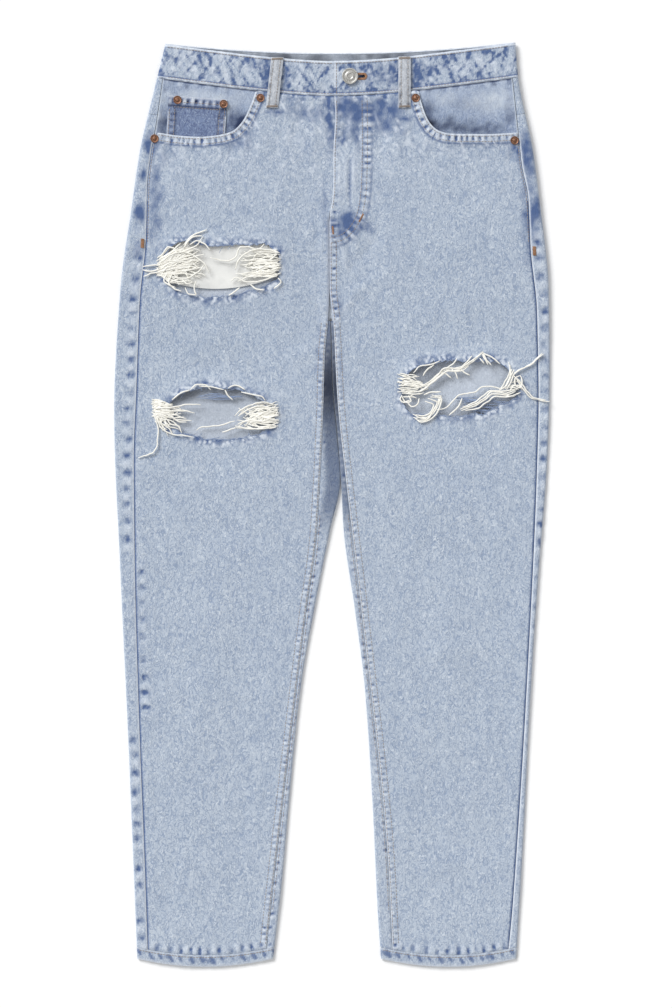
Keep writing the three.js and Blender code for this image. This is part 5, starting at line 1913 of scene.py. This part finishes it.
def sheaf(root_from, root_to, tip_from, tip_to, count, stray, surface, draw, yarn):
    """Yarns from a worn edge, spreading and curling towards their tips."""
    parts = []
    ends = [np.array(end, float) for end in (root_from, root_to, tip_from, tip_to)]
    outward = np.sign(root_from[0] - tip_from[0])
    for k in range(count):
        t = (k + draw.uniform(0.1, 0.9)) / count
        root = mix(*ends[:2], t) + (outward * draw.uniform(-4.5, 2.0), draw.normal(0, 0.8))
        tip = mix(*ends[2:], np.clip(t + draw.normal(0, 0.16), 0, 1))
        tip = mix(root, tip, draw.uniform(0.5, 1.08))
        bends, sag = [root], draw.normal(0, stray * 0.5)
        for s in (0.3, 0.58, 0.82):
            wander = draw.normal(0, 0.28 * stray, 2) + (0, sag * math.sin(math.pi * s))
            bends.append(mix(root, tip, s) + wander)
        bends.append(tip + (0, draw.normal(0, stray * 0.6)))
        path = yarn_path(bends, surface, draw, draw.uniform(0.2, 1.1))
        parts.append(tube(path, yarn * draw.uniform(0.4, 0.6)))
    return parts


class JEANS_OT_frayed_threads(bpy.types.Operator):
    """Lay the yarns that hang in the rips, bundle by bundle"""

    bl_idname = "jeans.frayed_threads"
    bl_label = "Frayed threads"

    def execute(self, context):
        yarn = sizes().yarn / MM
        for number, (node, (side, singles, sheaves)) in enumerate(BUNDLES.items()):
            draw = np.random.default_rng(500 + number)
            surface = on_front(side)
            parts = [
                tube(yarn_path(path, surface, draw, 1.6), yarn * draw.uniform(0.5, 0.62))
                for path in singles
            ]
            for spread in sheaves:
                parts += sheaf(*spread, surface, draw, yarn)
            piece = detail(f"threads_{node[5:]}", parts, "frayed_weft_cotton", "frayed_threads")
            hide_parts(node)
        draw = np.random.default_rng(600)
        for side in SIDES:
            parts = []
            for start, end in WARPS[side]:
                for _ in range(3):
                    jitter = draw.normal(0, 1.3, (2, 2))
                    bend = draw.normal(0, 1.5, 2)
                    flat = [start + jitter[0], (np.array(start) + end) / 2 + bend, end + jitter[1]]
                    path = yarn_path(flat, lambda x, y: top_of(x, y) - 0.3, draw, 0.0)
                    parts.append(tube(path, yarn * 0.3))
            detail(f"blue_yarns_{side}", parts, "frayed_warp_cotton", "frayed_threads")
        return {"FINISHED"}


# ---- Metal ----


def deselect_all():
    if bpy.context.object and bpy.context.object.mode != "OBJECT":
        bpy.ops.object.mode_set(mode="OBJECT")
    bpy.ops.object.select_all(action="DESELECT")


def disc(name, radius, height, z):
    """A round blank, selected, ready to be shaped in edit mode."""
    deselect_all()
    bpy.ops.mesh.primitive_cylinder_add(
        vertices=48, radius=radius * MM, depth=height * MM, location=(0, 0, (z + height / 2) * MM))
    blank = bpy.context.object
    blank.name = name
    bpy.ops.object.transform_apply(location=True, rotation=True, scale=True)
    return blank


def pick_top(blank):
    """Go into edit mode with only the top face selected."""
    bpy.ops.object.mode_set(mode="OBJECT")
    for parts in (blank.data.polygons, blank.data.edges, blank.data.vertices):
        parts.foreach_set("select", [False] * len(parts))
    facing_up = [face for face in blank.data.polygons if face.normal.z > 0.9]
    max(facing_up, key=lambda face: (round(face.center.z, 6), -face.area)).select = True
    bpy.ops.object.mode_set(mode="EDIT")
    bpy.ops.mesh.select_mode(type="FACE")


def press(blank, rings):
    """Inset the top face ring by ring and move each inset, as a die presses rings."""
    pick_top(blank)
    for width, drop in rings:
        bpy.ops.mesh.inset(thickness=width * MM, depth=0)
        if drop:
            bpy.ops.transform.translate(value=(0, 0, -drop * MM))


def finish_metal(blank, finish, edge):
    bpy.ops.object.mode_set(mode="OBJECT")
    rounding = blank.modifiers.new("Rounded edges", "BEVEL")
    rounding.width, rounding.segments = edge * MM, 2
    rounding.limit_method, rounding.angle_limit = "ANGLE", math.radians(25)
    bpy.ops.object.modifier_apply(modifier=rounding.name)
    bpy.ops.object.shade_smooth_by_angle(angle=math.radians(40))
    blank.data.materials.clear()
    blank.data.materials.append(bpy.data.materials[finish])


def set_metal(piece, node, shift):
    """Move a metal piece's points to its place, attach it and hide the part that it stands for."""
    for point in piece.data.vertices:
        point.co = np.array(point.co) + shift
    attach(piece, "root")
    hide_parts(node)


RIVETS = {
    "rivet_right_centre": (-84.3, 921),
    "rivet_right_side": (-196.5, 878),
    "rivet_coin_inner": (-123.3, 914.6),
    "rivet_coin_outer": (-172.2, 919),
    "rivet_left_centre": (80.2, 921),
    "rivet_left_side": (185, 876),
}


class JEANS_OT_rivets(bpy.types.Operator):
    """Press one copper rivet and set a copy in each place"""

    bl_idname = "jeans.rivets"
    bl_label = "Rivets"

    def execute(self, context):
        first = disc("rivet_blank", 4.4, 1.3, 0.0)
        press(first, ((0.5, 0), (0.5, 0.45), (1.3, 0), (0.4, -0.75), (0.7, -0.3)))
        finish_metal(first, "worn_copper_plate", 0.14)
        for node, (x, y) in RIVETS.items():
            low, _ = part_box(node)
            piece = set_out(f"copper_{node}", first.data.copy())
            place = to_frame((x, y, 0))
            place[2] = low[2] + max(float(rumple(x, y)), 0.0) * MM
            set_metal(piece, node, place)
        bpy.data.objects.remove(first)
        return {"FINISHED"}


class JEANS_OT_button(bpy.types.Operator):
    """Press the shank button of the waistband"""

    bl_idname = "jeans.button"
    bl_label = "Button"

    def execute(self, context):
        low, high = BUTTON_BOX
        foot, top = low[2] / MM, high[2] / MM
        head = disc("steel_button", 8.5, 2.1, top - 2.1)
        press(head, ((0.5, 0), (0.9, 0), (0.5, 0.6), (1.5, 0), (0.5, -0.4), (1.6, -0.15),
                     (0.5, 0.35), (1.2, 0)))
        finish_metal(head, "brushed_steel_plate", 0.18)
        shank = disc("steel_shank", 2.0, top - 2.0 - foot, foot)
        finish_metal(shank, "brushed_steel_plate", 0.12)
        deselect_all()
        head.select_set(True)
        shank.select_set(True)
        bpy.context.view_layer.objects.active = head
        bpy.ops.object.join()
        set_metal(head, "button",
                  ((low[0] + high[0]) / 2, (low[1] + high[1]) / 2, 0))
        return {"FINISHED"}


# ---- Stage ----

CAMERA_HEIGHT = 4.0
VIEW_MIDDLE = (-4.24, 490.8)
VIEW_TALL = 1.0685
CLOTH_MIDDLE_Z = 0.007
SENSOR = 24.0
SKY, SUN, SUN_WIDTH = 0.58, 2.55, math.radians(28)
SUN_TURN = (math.radians(-34), math.radians(-40), 0)  # from the upper left, 38 degrees up


class JEANS_OT_stage(bpy.types.Operator):
    """Set out the floor, the soft studio light and the camera"""

    bl_idname = "jeans.stage"
    bl_label = "Stage"

    def execute(self, context):
        tree, place = new_material("matt_white_floor")
        tooth = noise(tree, place, 400.0)
        tone = ramp_of(tree, tooth, [(0.3, linear("#f8f8f8")), (0.7, linear("#fbfbfb"))])
        finish_material(tree, tone, 0.95, 0.0)
        deselect_all()
        bpy.ops.mesh.primitive_plane_add(size=8.0, location=(0, 0, -0.0002))
        floor = bpy.context.object
        floor.name = "studio_floor"
        bpy.ops.object.transform_apply(location=True)
        floor.data.materials.append(bpy.data.materials["matt_white_floor"])
        floor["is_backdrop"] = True

        world = bpy.data.worlds.new("studio")
        world.use_nodes = True
        for socket, value in zip(world.node_tree.nodes["Background"].inputs, ((1, 1, 1, 1), SKY)):
            socket.default_value = value
        context.scene.world = world

        lamp = bpy.data.lights.new("window", "SUN")
        lamp.energy, lamp.angle = SUN, SUN_WIDTH
        window = set_out("window", lamp)
        window.rotation_euler = SUN_TURN

        lens = bpy.data.cameras.new("camera")
        lens.type = "PERSP"
        lens.sensor_fit = "VERTICAL"
        lens.sensor_height = SENSOR
        lens.lens = SENSOR * (CAMERA_HEIGHT - CLOTH_MIDDLE_Z) / VIEW_TALL
        lens.clip_end = 50
        camera = set_out("camera", lens)
        middle = to_frame((*VIEW_MIDDLE, 0))
        camera.location = (middle[0], middle[1], CAMERA_HEIGHT)
        context.scene.camera = camera
        context.scene.view_settings.view_transform = "Standard"
        return {"FINISHED"}


class JEANS_PT_sidebar(bpy.types.Panel):
    """Sizes, colours and pieces of the jeans"""

    bl_idname = "JEANS_PT_sidebar"
    bl_label = "Ripped jeans"
    bl_space_type = "VIEW_3D"
    bl_region_type = "UI"
    bl_category = "Jeans"

    def draw(self, context):
        for group in (context.scene.jeans_colours, context.scene.jeans_sizes):
            box = self.layout.box()
            for name in group.__annotations__:
                box.prop(group, name)
        for operator in MAKING:
            self.layout.operator(operator.bl_idname)


MAKING = (
    JEANS_OT_finishes,
    JEANS_OT_stage,
    JEANS_OT_fronts,
    JEANS_OT_backs,
    JEANS_OT_hems,
    JEANS_OT_waistband,
    JEANS_OT_belt_loops,
    JEANS_OT_fly,
    JEANS_OT_pockets,
    JEANS_OT_frayed_threads,
    JEANS_OT_rivets,
    JEANS_OT_button,
)
CLASSES = (JeansColours, JeansSizes, *MAKING, JEANS_PT_sidebar)


def register():
    for each in CLASSES:
        bpy.utils.register_class(each)
    bpy.types.Scene.jeans_colours = bpy.props.PointerProperty(type=JeansColours)
    bpy.types.Scene.jeans_sizes = bpy.props.PointerProperty(type=JeansSizes)


def unregister():
    del bpy.types.Scene.jeans_sizes
    del bpy.types.Scene.jeans_colours
    for each in reversed(CLASSES):
        bpy.utils.unregister_class(each)


def main():
    register()
    for operator in MAKING:
        group, name = operator.bl_idname.split(".")
        getattr(getattr(bpy.ops, group), name)()
    visual_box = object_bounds()
    boxes = {"cad": CAD_BOX, "visual": visual_box}
    {key: [list(corner) for corner in box] for key, box in boxes.items()}


if __name__ == "__main__":
    main()
